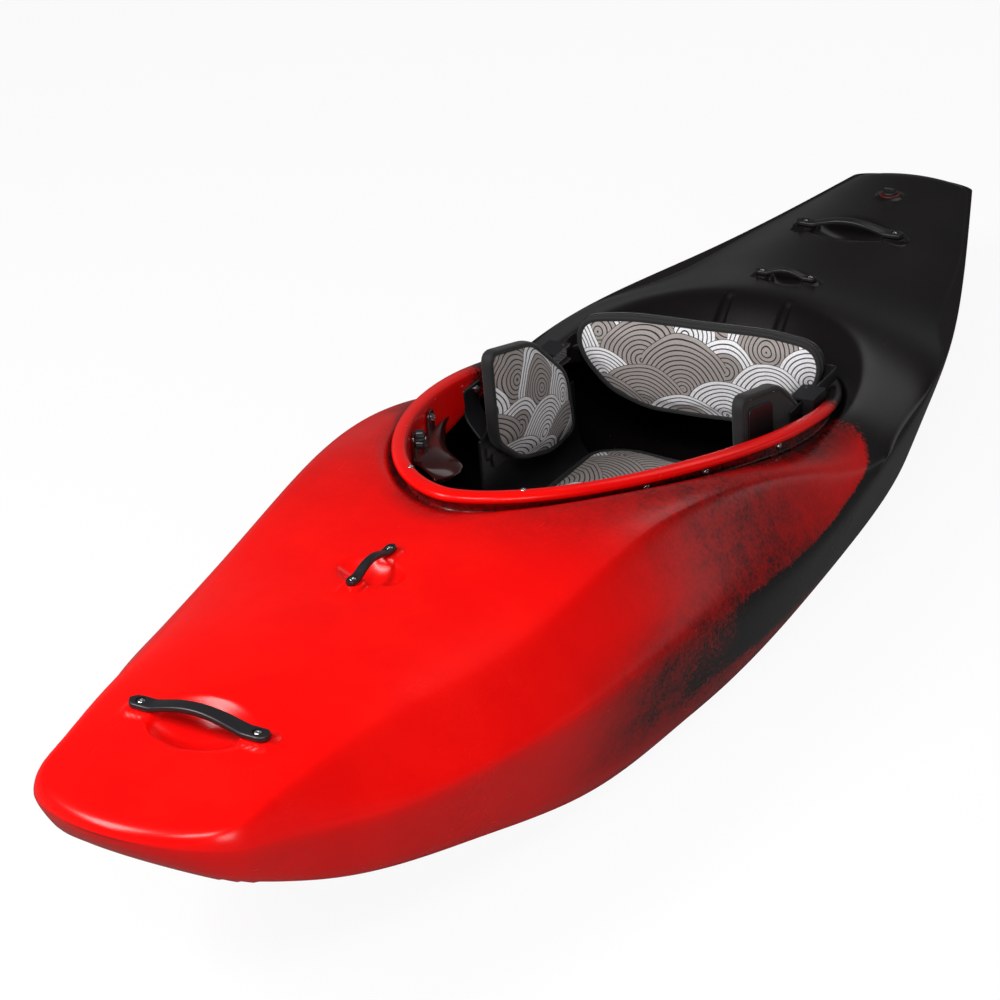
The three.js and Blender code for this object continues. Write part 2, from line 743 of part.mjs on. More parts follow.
function mouldingSolid() {
  let shell = solidOf(shellGeometry());
  for (const handle of handles) {
    const [inside, outside] = hollowFor(handle);
    shell = shell.add(solidOf(outside));
    handle.screws.forEach(([x, y]) => {
      const root = deckHeight(x, y) - bossRoot;
      shell = shell.add(solidOf(moved(rod(handle.boss, root, handle.seat, roundSides), x, y, 0)));
    });
    shell = shell.subtract(solidOf(inside));
    handle.screws.forEach(([x, y]) => {
      const bore = screwShankRadius + clearance;
      const through = rod(bore, handle.seat - screwLength, handle.seat + wall, smallSides);
      shell = shell.subtract(solidOf(moved(through, x, y, 0)));
    });
  }
  const drainDeck = deckHeight(0, drainY);
  const boss = rod(drainBossRadius, drainDeck - bossRoot, drainDeck + bossRise, roundSides);
  shell = shell.add(solidOf(moved(boss, 0, drainY, 0)));
  const drainBore = rod(
    drainSleeveRadius + clearance, drainDeck - drainSleeveDepth, drainDeck + wall, roundSides);
  shell = shell.subtract(solidOf(moved(drainBore, 0, drainY, 0)));
  for (const [, side] of sides) {
    for (const column of [seatBoltColumn, ...braceBoltColumns]) {
      shell = shell.subtract(boltBore(neckFacet(column, side)));
    }
    const bore = rod(lipScrewRadius + clearance, -lipScrewLength - clearance, wall, smallSides);
    const recess = rod(lipScrewHeadRadius + clearance, 0, wall, smallSides);
    for (const hole of [bore, recess]) {
      shell = shell.subtract(solidOf(moved(hole, ...lipScrewPlace(side))));
    }
  }
  return mainBody(shell);
}

const moulding = mouldingSolid();
place('hull_shell', geometryOf(moulding), materials.shell);

// A curved bar with flat ends, standing on its two bosses
function addHandle(handle) {
  const { spacing, end, width, endThickness, thickness, rise } = handle.sizes;
  const reach = (spacing + end) / 2;
  const flat = reach - end;
  const shape = new THREE.Shape();
  shape.moveTo(-reach, 0);
  shape.lineTo(-flat, 0);
  const bend = flat * gripBendShare;
  shape.bezierCurveTo(-bend, rise, bend, rise, flat, 0);
  shape.lineTo(reach, 0);
  shape.lineTo(reach, endThickness);
  shape.lineTo(flat, endThickness);
  shape.bezierCurveTo(bend, rise + thickness, -bend, rise + thickness, -flat, endThickness);
  shape.lineTo(-reach, endThickness);
  let bar = solidOf(spreadAlong(shape, -width / 2, width / 2));
  for (const x of [-spacing / 2, spacing / 2]) {
    const bore = rod(screwShankRadius + clearance, -wall, endThickness + wall, smallSides);
    const sink = rod(
      screwHeadRadius + clearance, endThickness - screwHeadHeight, endThickness + wall, smallSides);
    bar = bar.subtract(solidOf(moved(bore, x, 0, 0))).subtract(solidOf(moved(sink, x, 0, 0)));
  }
  const mesh = place(handle.name, geometryOf(bar), materials.blackPlastic);
  mesh.position.set(0, handle.y, handle.seat + clearance);
  mesh.rotation.z = handle.turn;
}

function addHandleScrews(handle) {
  const bottom = -screwLength;
  const profile = [
    [0, bottom], [screwShankRadius, bottom], [screwShankRadius, 0],
    [screwHeadRadius, 0], [screwHeadRadius, screwHeadHeight - clearance * 2],
    [0, screwHeadHeight - clearance]];
  handle.screws.forEach(([x, y], i) => {
    const name = `${handle.name}_screw_${i + 1}`;
    const mesh = place(name, turned(profile, smallSides), materials.steel);
    const floor = handle.seat + clearance + handle.sizes.endThickness - screwHeadHeight;
    mesh.position.set(x, y, floor + clearance);
  });
}

for (const handle of handles) {
  addHandle(handle);
  addHandleScrews(handle);
}

// Drain plug in its flanged seat
function addDrain() {
  const deck = deckHeight(0, drainY) + bossRise;
  const seatProfile = [
    [drainBoreRadius, -drainSleeveDepth], [drainSleeveRadius, -drainSleeveDepth],
    [drainSleeveRadius, clearance], [drainFlangeRadius, clearance],
    [drainFlangeRadius, clearance + drainFlangeThickness],
    [drainBoreRadius, clearance + drainFlangeThickness], [drainBoreRadius, -drainSleeveDepth]];
  const seat = place('drain_plug_seat', turned(seatProfile, roundSides), materials.blackPlastic);
  seat.position.set(0, drainY, deck);
  const capFoot = clearance * 2 + drainFlangeThickness;
  const stem = drainBoreRadius - clearance;
  const plugProfile = [
    [0, -drainStemLength], [stem, -drainStemLength], [stem, capFoot], [drainCapRadius, capFoot],
    [drainCapRadius, capFoot + drainCapThickness], [0, capFoot + drainCapThickness]];
  const gripFoot = capFoot + drainCapThickness - clearance;
  const gripHalf = drainCapRadius * drainGripShare;
  const grip = boxBetween(
    [-gripHalf, -drainGripWidth / 2, gripFoot], [gripHalf, drainGripWidth / 2, gripFoot + drainGripHeight]);
  const plug = solidOf(turned(plugProfile, roundSides)).add(solidOf(grip));
  place('drain_plug', geometryOf(plug), materials.blackPlastic).position.set(0, drainY, deck);
}
addDrain();

const upright = [2];
const everyWay = [0, 1, 2];

// Takes the moulding away from a piece, with a small clearance both ways along the axes
function clearOfMoulding(solid, axes) {
  const shifts = axes.flatMap((axis) => [1, -1].map((sign) => {
    const shift = [0, 0, 0];
    shift[axis] = sign * clearance;
    return shift;
  }));
  return shifts.reduce((rest, shift) => rest.subtract(moulding.translate(shift)), solid);
}

// The pillar keeps below the deck, and lower still under a handle's hollow and screws
function pillarTop(y) {
  const under = handles.some((handle) => {
    const { spacing, end, hollowHalfLength } = handle.sizes;
    const half = handle.turn === 0 ? hollowHalfLength + wall : spacing / 2 + end;
    return Math.abs(y - handle.y) < half + pillarTopGap;
  });
  const room = under ? bigHandle.hollowDepth + wall : 0;
  return deckHeight(pillarWidth / 2, y) - wall - pillarTopGap - room;
}

// A foam wall on the centreline, standing on the bottom and reaching up to the deck
function pillarSolid(from, to) {
  const half = pillarWidth / 2;
  const count = Math.round((to - from) / pillarStep);
  const stations = Array.from({ length: count + 1 }, (_, i) => from + ((to - from) * i) / count);
  const outline = [
    ...stations.map((y) => [y, bottomHeight(half, y) + wall / 2]),
    ...stations.reverse().map((y) => [y, pillarTop(y)])];
  const block = spreadAcross(shapeFrom(outline), -half, half);
  return mainBody(clearOfMoulding(solidOf(block), upright));
}

place('front_foam_pillar', geometryOf(pillarSolid(frontPillarFrom, frontPillarTo)), materials.foam);
place('rear_foam_pillar', geometryOf(pillarSolid(rearPillarFrom, rearPillarTo)), materials.foam);

// Seat: a pan on the flat bottom, drawn up into a wing on each side
const panFloor = wall + clearance;
const seatTabTop = rimHeight(rimCentre) - seatTabDrop;
const seatTabFoot = seatTabTop - seatTabHeight;
const wingTop = seatTabFoot + wingRise;
const panRise = (wingTop - panFloor) * panRiseShare;

function seatHalfProfile(thickness) {
  const outside = wingInside + thickness;
  const low = panFloor + seatThickness - thickness;
  return { outside, low };
}

function addSeat() {
  const outer = seatHalfProfile(seatThickness);
  const inner = seatHalfProfile(0);
  const shape = new THREE.Shape();
  shape.moveTo(-outer.outside, wingTop);
  shape.lineTo(-outer.outside, outer.low + panRise);
  shape.quadraticCurveTo(-outer.outside, outer.low, -panHalfWidth, outer.low);
  shape.lineTo(panHalfWidth, outer.low);
  shape.quadraticCurveTo(outer.outside, outer.low, outer.outside, outer.low + panRise);
  shape.lineTo(outer.outside, wingTop);
  shape.lineTo(inner.outside, wingTop);
  shape.lineTo(inner.outside, inner.low + panRise);
  shape.quadraticCurveTo(inner.outside, inner.low, panHalfWidth, inner.low);
  shape.lineTo(-panHalfWidth, inner.low);
  shape.quadraticCurveTo(-inner.outside, inner.low, -inner.outside, inner.low + panRise);
  shape.lineTo(-inner.outside, wingTop);
  let seat = solidOf(spreadAlong(shape, seatFrom, seatTo));
  const tabShape = shapeFrom([
    [wingInside + clearance, seatTabFoot], [wingInside + seatThickness, seatTabFoot],
    [seatTabReach, seatTabFoot + seatTabBend], [seatTabReach, seatTabTop],
    [seatTabInside, seatTabTop], [seatTabInside, seatTabFoot + seatTabBend],
    [wingInside + clearance, seatTabFoot + seatThickness]]);
  const tab = spreadAlong(tabShape, seatTabFrom, seatTabTo);
  for (const [, side] of sides) {
    seat = seat.add(solidOf(onSide(tab, side)));
  }
  seat = mainBody(clearOfMoulding(seat, everyWay));
  for (const [, side] of sides) {
    seat = seat.subtract(boltBore(neckFacet(seatBoltColumn, side)));
  }
  place('seat_shell', geometryOf(seat), materials.blackPlastic);
}
addSeat();

function addSeatPad() {
  const stationsAcross = [-1, -0.8, -0.55, -0.28, 0, 0.28, 0.55, 0.8, 1];
  const stationsAlong = [0, 0.1, 0.3, 0.5, 0.7, 0.9, 1];
  const floor = panFloor + seatThickness + clearance;
  const heightAt = (u, v) => {
    const rise = seatPadFront + (seatPadRear - seatPadFront) * v;
    const dish = seatPadSideRise * u * u - seatPadDish * (1 - u * u) * Math.sin(Math.PI * v);
    const edge = Math.min(1, seatPadEdgeSlope * Math.min(v, 1 - v) + seatPadEdgeShare);
    return floor + (rise + dish) * edge;
  };
  const floorAt = (u) => {
    const x = Math.abs(u) * seatPadHalfWidth;
    const out = Math.max(x - panHalfWidth, 0) / (wingInside - panHalfWidth);
    return floor + panRise * out * out + (out > 0 ? clearance : 0);
  };
  const points = [];
  for (const layer of [0, 1]) {
    for (const v of stationsAlong) {
      for (const u of stationsAcross) {
        const y = seatPadFrom + (seatPadTo - seatPadFrom) * v;
        points.push(u * seatPadHalfWidth, y, layer ? heightAt(u, v) : floorAt(u));
      }
    }
  }
  const across = stationsAcross.length;
  const layerSize = across * stationsAlong.length;
  const triangles = [];
  const quad = (a, b, c, d) => triangles.push(a, b, c, a, c, d);
  for (let j = 0; j < stationsAlong.length - 1; j += 1) {
    for (let i = 0; i < across - 1; i += 1) {
      const a = j * across + i;
      quad(a + layerSize, a + 1 + layerSize, a + 1 + across + layerSize, a + across + layerSize);
      quad(a, a + across, a + across + 1, a + 1);
    }
  }
  for (let j = 0; j < stationsAlong.length - 1; j += 1) {
    const left = j * across;
    const right = left + across - 1;
    quad(left, left + layerSize, left + across + layerSize, left + across);
    quad(right, right + across, right + across + layerSize, right + layerSize);
  }
  for (let i = 0; i < across - 1; i += 1) {
    const back = (stationsAlong.length - 1) * across + i;
    quad(i, i + 1, i + 1 + layerSize, i + layerSize);
    quad(back, back + layerSize, back + 1 + layerSize, back + 1);
  }
  place('seat_pad', triangleGeometry(points, triangles), materials.printedFabric);
}
addSeatPad();

// Side outline of a hip pad in Y and Z, as shares of its length and height from its low front
const hipPadShares = [[0.04, 1], [0.47, 0.8], [0.88, 0.4], [1, 0.02], [0.69, 0], [0.3, 0.13], [0.04, 0.36]];
const hipPadCorner = 22;

function sampled(shape, count) {
  const points = shape.getSpacedPoints(count).slice(0, count);
  return points.map((p) => new THREE.Vector2(p.x, p.y));
}

function addHip(word, side) {
  const padFoot = panFloor + (wingTop - panFloor) * hipPadFootShare;
  const padHeight = (wingTop - panFloor) * hipPadHeightShare;
  const corners = hipPadShares.map(([u, v]) => [hipPadFrom + hipPadLength * u, padFoot + padHeight * v]);
  let outline = sampled(roundedShape(corners, hipPadCorner), padOutlinePoints);
  if (THREE.ShapeUtils.isClockWise(outline)) outline = outline.reverse();
  const pad = cushionGeometry(outline, hipPadThickness - hipPadCrown, hipPadCrown, hipPadRoll);
  const axes = new THREE.Matrix4().makeBasis(
    new THREE.Vector3(0, 1, 0), new THREE.Vector3(0, 0, 1), new THREE.Vector3(1, 0, 0));
  pad.applyMatrix4(axes);
  pad.translate(-hipPadOutside, 0, 0);
  place(`hip_pad_${word}`, onSide(pad, -side), materials.printedFabric);
  const [plateFoot, plateTop] = [wingTop - hipPlateDrop, wingTop + hipPlateRise];
  const plateShape = roundedShape([
    [hipPlateFrom, plateFoot], [hipPlateTo, plateFoot],
    [hipPlateTo, plateTop - hipPlateSlant], [hipPlateFrom, plateTop]], hipPlateCorner);
  const inside = hipPadOutside + clearance;
  const plate = spreadAcross(plateShape, inside, inside + hipPlateThickness);
  place(`hip_plate_${word}`, onSide(plate, side), materials.blackPlastic);
}

for (const [word, side] of sides) addHip(word, side);

// Backband: a curved-ended board in its own frame, U across and V up, facing the bow
const bandShares = [[0, 0], [0.44, 0.02], [0.74, 0.2], [0.95, 0.52], [1, 0.76], [0.9, 0.96], [0.55, 1], [0, 0.985]];
const bandCorner = 14;
const strapHeight = rimHeight(bandY) + strapRise;
const bandTop = strapHeight + bandRise;
const bandFoot = bandTop - bandHeight;

function bandOutline(margin) {
  const half = bandHalfWidth - margin;
  const low = bandFoot + margin;
  const height = bandTop - margin - low;
  const right = bandShares.map(([u, v]) => [u * half, low + v * height]);
  const left = right.slice(1, -1).reverse().map(([u, v]) => [-u, v]);
  return [...right, ...left];
}

function placeBand(mesh) {
  mesh.position.set(bandShift, bandY, 0);
  mesh.rotation.z = THREE.MathUtils.degToRad(bandYaw);
}

function addBackband() {
  let outline = sampled(roundedShape(bandOutline(bandPadMargin), bandCorner), padOutlinePoints);
  if (THREE.ShapeUtils.isClockWise(outline)) outline = outline.reverse();
  const thickness = bandPadThickness - bandPadCrown;
  const pad = cushionGeometry(outline, thickness, bandPadCrown, hipPadRoll);
  const axes = new THREE.Matrix4().makeBasis(
    new THREE.Vector3(1, 0, 0), new THREE.Vector3(0, 0, 1), new THREE.Vector3(0, -1, 0));
  pad.applyMatrix4(axes);
  placeBand(place('backband_pad', pad, materials.printedFabric));
  const shellShape = roundedShape(bandOutline(0), bandCorner);
  const shell = spreadAlong(shellShape, clearance, clearance + bandShellThickness);
  placeBand(place('backband_shell', shell, materials.blackPlastic));
}
addBackband();

// Where the back of the band's end lies, in the boat's own frame
function bandEnd(side) {
  const yaw = THREE.MathUtils.degToRad(bandYaw);
  const across = side * (bandHalfWidth - bandCorner);
  const behind = clearance * 2 + bandShellThickness;
  return [
    bandShift + across * Math.cos(yaw) - behind * Math.sin(yaw),
    bandY + across * Math.sin(yaw) + behind * Math.cos(yaw)];
}

// Ladder strap: straight through the ratchet, then bent in behind the band's end
function addStrap(word, side) {
  const yaw = THREE.MathUtils.degToRad(bandYaw) * side;
  const [endX, endY] = bandEnd(side);
  const tipX = Math.abs(endX);
  const lap = bandCorner * 2;
  const alongX = Math.cos(yaw);
  const alongY = Math.sin(yaw);
  const t = strapThickness;
  const elbowX = strapInside + t;
  const seatAt = (x) => endY + ((x - tipX) * alongY) / alongX;
  const points = [
    [strapInside, strapFront], [elbowX, strapFront], [elbowX, seatAt(elbowX) - t],
    [elbowX - t / 2, seatAt(elbowX) + t], [tipX - lap, seatAt(tipX - lap) + t],
    [tipX - lap, seatAt(tipX - lap)], [strapInside, seatAt(strapInside)]];
  const strap = standing(shapeFrom(points), strapHeight - strapHalfHeight, strapHeight + strapHalfHeight);
  place(`ladder_strap_${word}`, onSide(strap, side), materials.blackPlastic);
}

for (const [word, side] of sides) addStrap(word, side);

// Ratchet: a base against the coaming's inner wall and two cheeks that carry the lever's pin
const ratchetHalf = strapHalfHeight + clearance;

function addRatchet(word, side) {
  const strapOutside = strapInside + strapThickness + clearance;
  const low = strapHeight - ratchetHalf - ratchetCheek;
  const high = strapHeight + ratchetHalf + ratchetCheek;
  let body = solidOf(boxBetween([strapOutside, ratchetFrom, low], [ratchetReach, ratchetTo, high]));
  for (const [from, to] of [[low, low + ratchetCheek], [high - ratchetCheek, high]]) {
    body = body.add(solidOf(boxBetween(
      [ratchetInside, ratchetFrom, from], [strapOutside + clearance, ratchetTo, to])));
  }
  const pinX = ratchetInside + leverPinInset;
  const pinY = ratchetTo - leverPinInset;
  const hole = rod(leverPinRadius + clearance, low - wall, high + wall, smallSides);
  body = body.subtract(solidOf(moved(hole, pinX, pinY, 0)));
  const sided = solidOf(onSide(geometryOf(body), side));
  place(`ratchet_buckle_${word}`, geometryOf(mainBody(clearOfMoulding(sided, everyWay))), materials.blackPlastic);
  const pin = rod(leverPinRadius, low, high, smallSides);
  place(`ratchet_pin_${word}`, onSide(moved(pin, pinX, pinY, 0), side), materials.steel);
  const leverHalf = strapHalfHeight - clearance;
  const leverShape = roundedShape([
    [pinX - leverPinInset / 2, pinY + leverPinInset / 2], [pinX - leverPinInset / 2, pinY - leverLength],
    [pinX + leverPinInset / 2, pinY - leverLength], [pinX + leverPinInset / 2, pinY + leverPinInset / 2],
  ], leverCorner);
  let lever = solidOf(standing(leverShape, strapHeight - leverHalf, strapHeight + leverHalf));
  lever = lever.subtract(solidOf(moved(hole, pinX, pinY, 0)));
  place(`ratchet_lever_${word}`, onSide(geometryOf(lever), side), materials.glossPlastic);
}

for (const [word, side] of sides) addRatchet(word, side);

// Thigh brace: a hooked plate that hugs the coaming's inner wall, with a bolted flange
const braceColumns = [2, 3, 4, 5, 6];
const braceOuterInset = lipOverhang + wall / 2;
const braceFlangeInset = lipOverhang + wall + braceFlangeThickness;

function neckRun(inset) {
  return braceColumns.map((k) => {
    const sine = -Math.sin((k / quarterColumns) * (Math.PI / 2));
    const p = insideRim(columnPoints(sine, 1).rim, inset);
    return [p.x, p.y];
  });
}

// Leans a flat piece so that it keeps its distance below the rising rim
function underRim(geometry) {
  const [first, last] = [neckRun(0)[0][1], neckRun(0)[braceColumns.length - 1][1]];
  const slope = (rimHeight(last) - rimHeight(first)) / (last - first);
  const lean = new THREE.Matrix4().set(
    1, 0, 0, 0, 0, 1, 0, 0, 0, slope, 1, rimHeight(first) - first * slope - braceDrop, 0, 0, 0, 1);
  return geometry.clone().applyMatrix4(lean);
}

function braceInnerEdge(margin) {
  const [backX, backY] = neckRun(braceFlangeInset)[0];
  const [inner, top] = [braceTipX + margin, braceTipY + braceTipWidth - margin];
  const hook = (backX - braceTipX) * braceHookShare;
  return [
    [inner, braceTipY + margin], [inner, top], [(braceTipX + backX) / 2, top + hook],
    [backX - margin, backY - margin]];
}

function addThighBrace(word, side) {
  const wallRun = neckRun(braceOuterInset);
  const plateOutline = [...wallRun].reverse().concat(braceInnerEdge(0).reverse());
  const flangeOutline = [...wallRun].reverse().concat(neckRun(braceFlangeInset));
  const plate = standing(shapeFrom(plateOutline), -braceThickness, 0);
  const flange = standing(shapeFrom(flangeOutline), -braceThickness, braceDrop - braceFlangeTop);
  let brace = solidOf(underRim(plate)).add(solidOf(underRim(flange)));
  brace = solidOf(onSide(geometryOf(brace), side));
  brace = mainBody(clearOfMoulding(brace, everyWay));
  for (const column of braceBoltColumns) {
    brace = brace.subtract(boltBore(neckFacet(column, side)));
  }
  place(`thigh_brace_${word}`, geometryOf(brace), materials.glossPlastic);
  const foot = -braceThickness - clearance;
  const nutRoom = neckRun(braceFlangeInset + boltHeadRadius + bracePadMargin);
  const innerEdge = braceInnerEdge(bracePadMargin).slice(0, -1);
  const padOutline = [...nutRoom.slice(1).reverse(), ...innerEdge.reverse()];
  const pad = underRim(standing(shapeFrom(padOutline), foot - bracePadThickness, foot));
  place(`thigh_pad_${word}`, onSide(pad, side), materials.foam);
}

// A bolt through the neck: low round head outside, nut on the far side of what it holds
function addNeckBolt(name, column, side, grip) {
  const facet = neckFacet(column, side);
  const inner = -(wall + clearance + grip + clearance);
  const bolt = turned([
    [0, inner - nutHeight], [boltHeadRadius, inner - nutHeight], [boltHeadRadius, inner],
    [boltRadius, inner], [boltRadius, clearance], [boltHeadRadius, clearance],
    [boltHeadRadius * boltCrownShare, clearance + boltHeadHeight], [0, clearance + boltHeadHeight]], smallSides);
  place(name, throughNeck(bolt, facet), materials.steel);
}

function addLipScrew(word, side) {
  const screw = turned([
    [0, -lipScrewLength], [lipScrewRadius, -lipScrewLength], [lipScrewRadius, clearance],
    [lipScrewHeadRadius, clearance], [lipScrewHeadRadius, clearance + lipScrewHeadHeight / 2],
    [0, clearance + lipScrewHeadHeight]], smallSides);
  place(`coaming_screw_${word}`, screw, materials.steel).position.set(...lipScrewPlace(side));
}

for (const [word, side] of sides) {
  addThighBrace(word, side);
  braceBoltColumns.forEach((column, i) => {
    addNeckBolt(`thigh_brace_bolt_${word}_${i + 1}`, column, side, braceFlangeThickness);
  });
  addNeckBolt(`seat_bolt_${word}`, seatBoltColumn, side, seatTabReach - seatTabInside - wall / 2);
  addLipScrew(word, side);
}

// The hull side's distance from the centreline at a height, found by halving
function sideAt(y, height) {
  let inside = 0;
  let outside = Math.sqrt(breadthSquared(y));
  for (let i = 0; i < 30; i += 1) {
    const middle = (inside + outside) / 2;
    if (bottomHeight(middle, y) < height) inside = middle;
    else outside = middle;
  }
  return inside;
}

// A block whose outer end follows the hull side within its wall
function railFoot(from) {
  const [low, high] = [railZ - railHeight / 2, railZ + railHeight / 2];
  const corner = (y, z) => {
    const slant = (sideAt(y, z + wall) - sideAt(y, z - wall)) / (2 * wall);
    return [sideAt(y, z) - (wall / 2) * Math.hypot(1, slant), y, z];
  };
  const ends = [[from, low], [from + railFootLength, low], [from + railFootLength, high], [from, high]];
  const outer = ends.map(([y, z]) => corner(y, z));
  const inner = ends.map(([y, z]) => [railX, y, z]);
  const points = [...inner, ...outer].flat();
  const faces = [[0, 3, 2, 1], [4, 5, 6, 7], [0, 1, 5, 4], [1, 2, 6, 5], [2, 3, 7, 6], [3, 0, 4, 7]];
  const triangles = faces.flatMap(([a, b, c, d]) => [a, b, c, a, c, d]);
  return triangleGeometry(points, triangles);
}

function addRail(word, side) {
  const [low, high] = [railZ - railHeight / 2, railZ + railHeight / 2];
  const bar = boxBetween([railX - railWidth / 2, railFrom, low], [railX + railWidth / 2, railTo, high]);
  let rail = solidOf(bar);
  for (const from of [railFrom, railTo - railFootLength]) {
    rail = rail.add(solidOf(railFoot(from)));
  }
  rail = mainBody(clearOfMoulding(solidOf(onSide(geometryOf(rail), side)), everyWay));
  place(`footrest_rail_${word}`, geometryOf(rail), materials.blackPlastic);
}

// Foot plate: a board beside the pillar, with a bracket round the rail, a pad and a lock screw
function footPlateOutline(margin) {
  const outside = railX - railWidth / 2 - clearance;
  const [near, far] = [footPlateInside + margin, outside - margin];
  return roundedShape([
    [near, footPlateFoot + margin], [far, footPlateFoot + margin],
    [far, footPlateTop - margin], [near, footPlateTop - margin]], footPlateCorner - margin);
}

function addFootPlate(word, side) {
  const plateBack = footPlateY + footPlateThickness;
  let plate = solidOf(spreadAlong(footPlateOutline(0), footPlateY, plateBack));
  const inside = railX - railWidth / 2 - clearance;
  const outside = railX + railWidth / 2;
  const front = footPlateY - footClampLength;
  const back = footPlateY + clearance;
  const lipLow = railZ + railHeight / 2 + clearance;
  const lipHigh = lipLow + footClampThickness;
  const floorHigh = railZ - railHeight / 2 - clearance;
  const floorLow = floorHigh - footClampThickness;
  plate = plate
    .add(solidOf(boxBetween([inside - footClampThickness, front, floorLow], [inside, back, lipHigh])))
    .add(solidOf(boxBetween([inside - clearance, front, lipLow], [outside, back, lipHigh])))
    .add(solidOf(boxBetween([inside - clearance, front, floorLow], [outside, back, floorHigh])));
  const lockY = (front + footPlateY) / 2;
  const bore = rod(lockPinRadius + clearance, -lockBoreLength, wall, smallSides);
  const lockAt = (geometry) => moved(geometry.clone().rotateY(Math.PI / 2), inside, lockY, railZ);
  plate = plate.subtract(solidOf(lockAt(bore)));
  place(`foot_plate_${word}`, onSide(geometryOf(plate), side), materials.blackPlastic);
  const pad = spreadAlong(
    footPlateOutline(footPadMargin), plateBack + clearance, plateBack + clearance + footPadThickness);
  place(`foot_pad_${word}`, onSide(pad, side), materials.foam);
  const face = -footClampThickness - clearance;
  const lock = turned([
    [0, face - lockKnobLength], [lockKnobRadius, face - lockKnobLength], [lockKnobRadius, face],
    [lockPinRadius, face], [lockPinRadius, 0], [0, 0]], smallSides);
  place(`foot_plate_lock_${word}`, onSide(lockAt(lock), side), materials.blackPlastic);
}

for (const [word, side] of sides) {
  addRail(word, side);
  addFootPlate(word, side);
}

export default kayak;
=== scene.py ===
"""A whitewater kayak: moulding, handles, cockpit outfitting and footrests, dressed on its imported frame.

Lengths are in metres, +Z is up, the bow points towards -Y and the port side is at +X.
"""

import json
import logging
import math
from collections.abc import Callable, Iterator, Sequence
from contextlib import contextmanager
from dataclasses import dataclass
from enum import Enum

import bmesh
import bpy
import numpy as np
from mathutils import Matrix, Vector


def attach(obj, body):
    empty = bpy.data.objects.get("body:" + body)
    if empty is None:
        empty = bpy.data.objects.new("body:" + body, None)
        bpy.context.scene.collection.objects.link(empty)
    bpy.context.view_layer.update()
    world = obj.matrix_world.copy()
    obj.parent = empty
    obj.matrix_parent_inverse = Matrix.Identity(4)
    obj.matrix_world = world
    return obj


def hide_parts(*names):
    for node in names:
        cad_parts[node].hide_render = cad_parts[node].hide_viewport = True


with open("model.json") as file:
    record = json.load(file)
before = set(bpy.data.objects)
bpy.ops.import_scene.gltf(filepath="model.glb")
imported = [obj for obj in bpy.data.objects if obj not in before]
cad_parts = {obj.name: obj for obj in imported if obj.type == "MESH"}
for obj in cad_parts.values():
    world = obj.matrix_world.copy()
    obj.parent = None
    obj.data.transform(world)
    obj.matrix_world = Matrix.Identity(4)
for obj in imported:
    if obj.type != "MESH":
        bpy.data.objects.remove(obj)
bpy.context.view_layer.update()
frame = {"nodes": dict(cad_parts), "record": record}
LOG = logging.getLogger("kayak")
Array = np.ndarray
Piece = bpy.types.Object
Material = bpy.types.Material
Socket = bpy.types.NodeSocket
Triple = tuple[float, float, float]
Pairs = Sequence[tuple[float, float]]
MM = 0.001
CLEARANCE = 0.0003
PORT, AFT, UP = (1.0, 0.0, 0.0), (0.0, 1.0, 0.0), (0.0, 0.0, 1.0)


class Side(Enum):
    """Port is the paddler's left, at +X."""

    LEFT = 1.0
    RIGHT = -1.0

    @property
    def word(self) -> str:
        """The word that the names of this side's pieces end with."""
        return self.name.lower()


def grid_faces(rows: int, columns: int, ring: bool) -> Array:
    """Quads between neighbours of a grid stored row by row, with each row closed on itself.

    Args:
        rows: how many rows the grid has.
        columns: how many points each row has.
        ring: whether the last row joins the first.

    Returns:
        An array of four point numbers for each face.
    """
    row, column = np.meshgrid(np.arange(rows if ring else rows - 1), np.arange(columns), indexing="ij")
    after, below = (column + 1) % columns, (row + 1) % rows
    corners = [row * columns + column, row * columns + after, below * columns + after, below * columns + column]
    return np.stack(corners, axis=-1).reshape(-1, 4)


@contextmanager
def editing(mesh: bpy.types.Mesh) -> Iterator[bmesh.types.BMesh]:
    """Opens a mesh for editing, and writes it back afterwards.

    Args:
        mesh: the mesh.

    Yields:
        The opened mesh.
    """
    work = bmesh.new()
    work.from_mesh(mesh)
    yield work
    work.to_mesh(mesh)
    work.free()


def face_out(work: bmesh.types.BMesh) -> None:
    """Turns all the faces outwards.

    Args:
        work: the opened mesh.
    """
    bmesh.ops.recalc_face_normals(work, faces=work.faces)
    if work.calc_volume(signed=True) < 0:
        bmesh.ops.reverse_faces(work, faces=work.faces)


def shade_smooth(mesh: bpy.types.Mesh) -> None:
    """Shades every face smoothly."""
    mesh.polygons.foreach_set("use_smooth", np.ones(len(mesh.polygons), dtype=bool))


def linked(name: str, data: bpy.types.ID) -> Piece:
    """Makes an object of some data and puts it into the scene.

    Args:
        name: the object's name.
        data: its mesh, lamp or camera.

    Returns:
        The object.
    """
    piece = bpy.data.objects.new(name, data)
    bpy.context.scene.collection.objects.link(piece)
    return piece


def mesh_piece(name: str, grid: Array, finish: "Finish", ring: bool = False) -> Piece:
    """Makes one smooth piece from rows of points, with its faces turned outwards.

    Args:
        name: the piece's name.
        grid: an array of rows, columns and three numbers; each row is closed on itself.
        finish: the finish of the piece.
        ring: whether the last row joins the first.

    Returns:
        The linked object, with its place in its mesh.
    """
    faces = grid_faces(grid.shape[0], grid.shape[1], ring)
    mesh = bpy.data.meshes.new(name)
    mesh.vertices.add(grid.size // 3)
    mesh.vertices.foreach_set("co", grid.astype(np.float32).ravel())
    mesh.loops.add(faces.size)
    mesh.loops.foreach_set("vertex_index", faces.ravel().astype(np.int32))
    mesh.polygons.add(len(faces))
    mesh.polygons.foreach_set("loop_start", np.arange(0, faces.size, 4, dtype=np.int32))
    mesh.update(calc_edges=True)
    mesh.materials.append(finish.material())
    close_up(mesh)
    return linked(name, mesh)


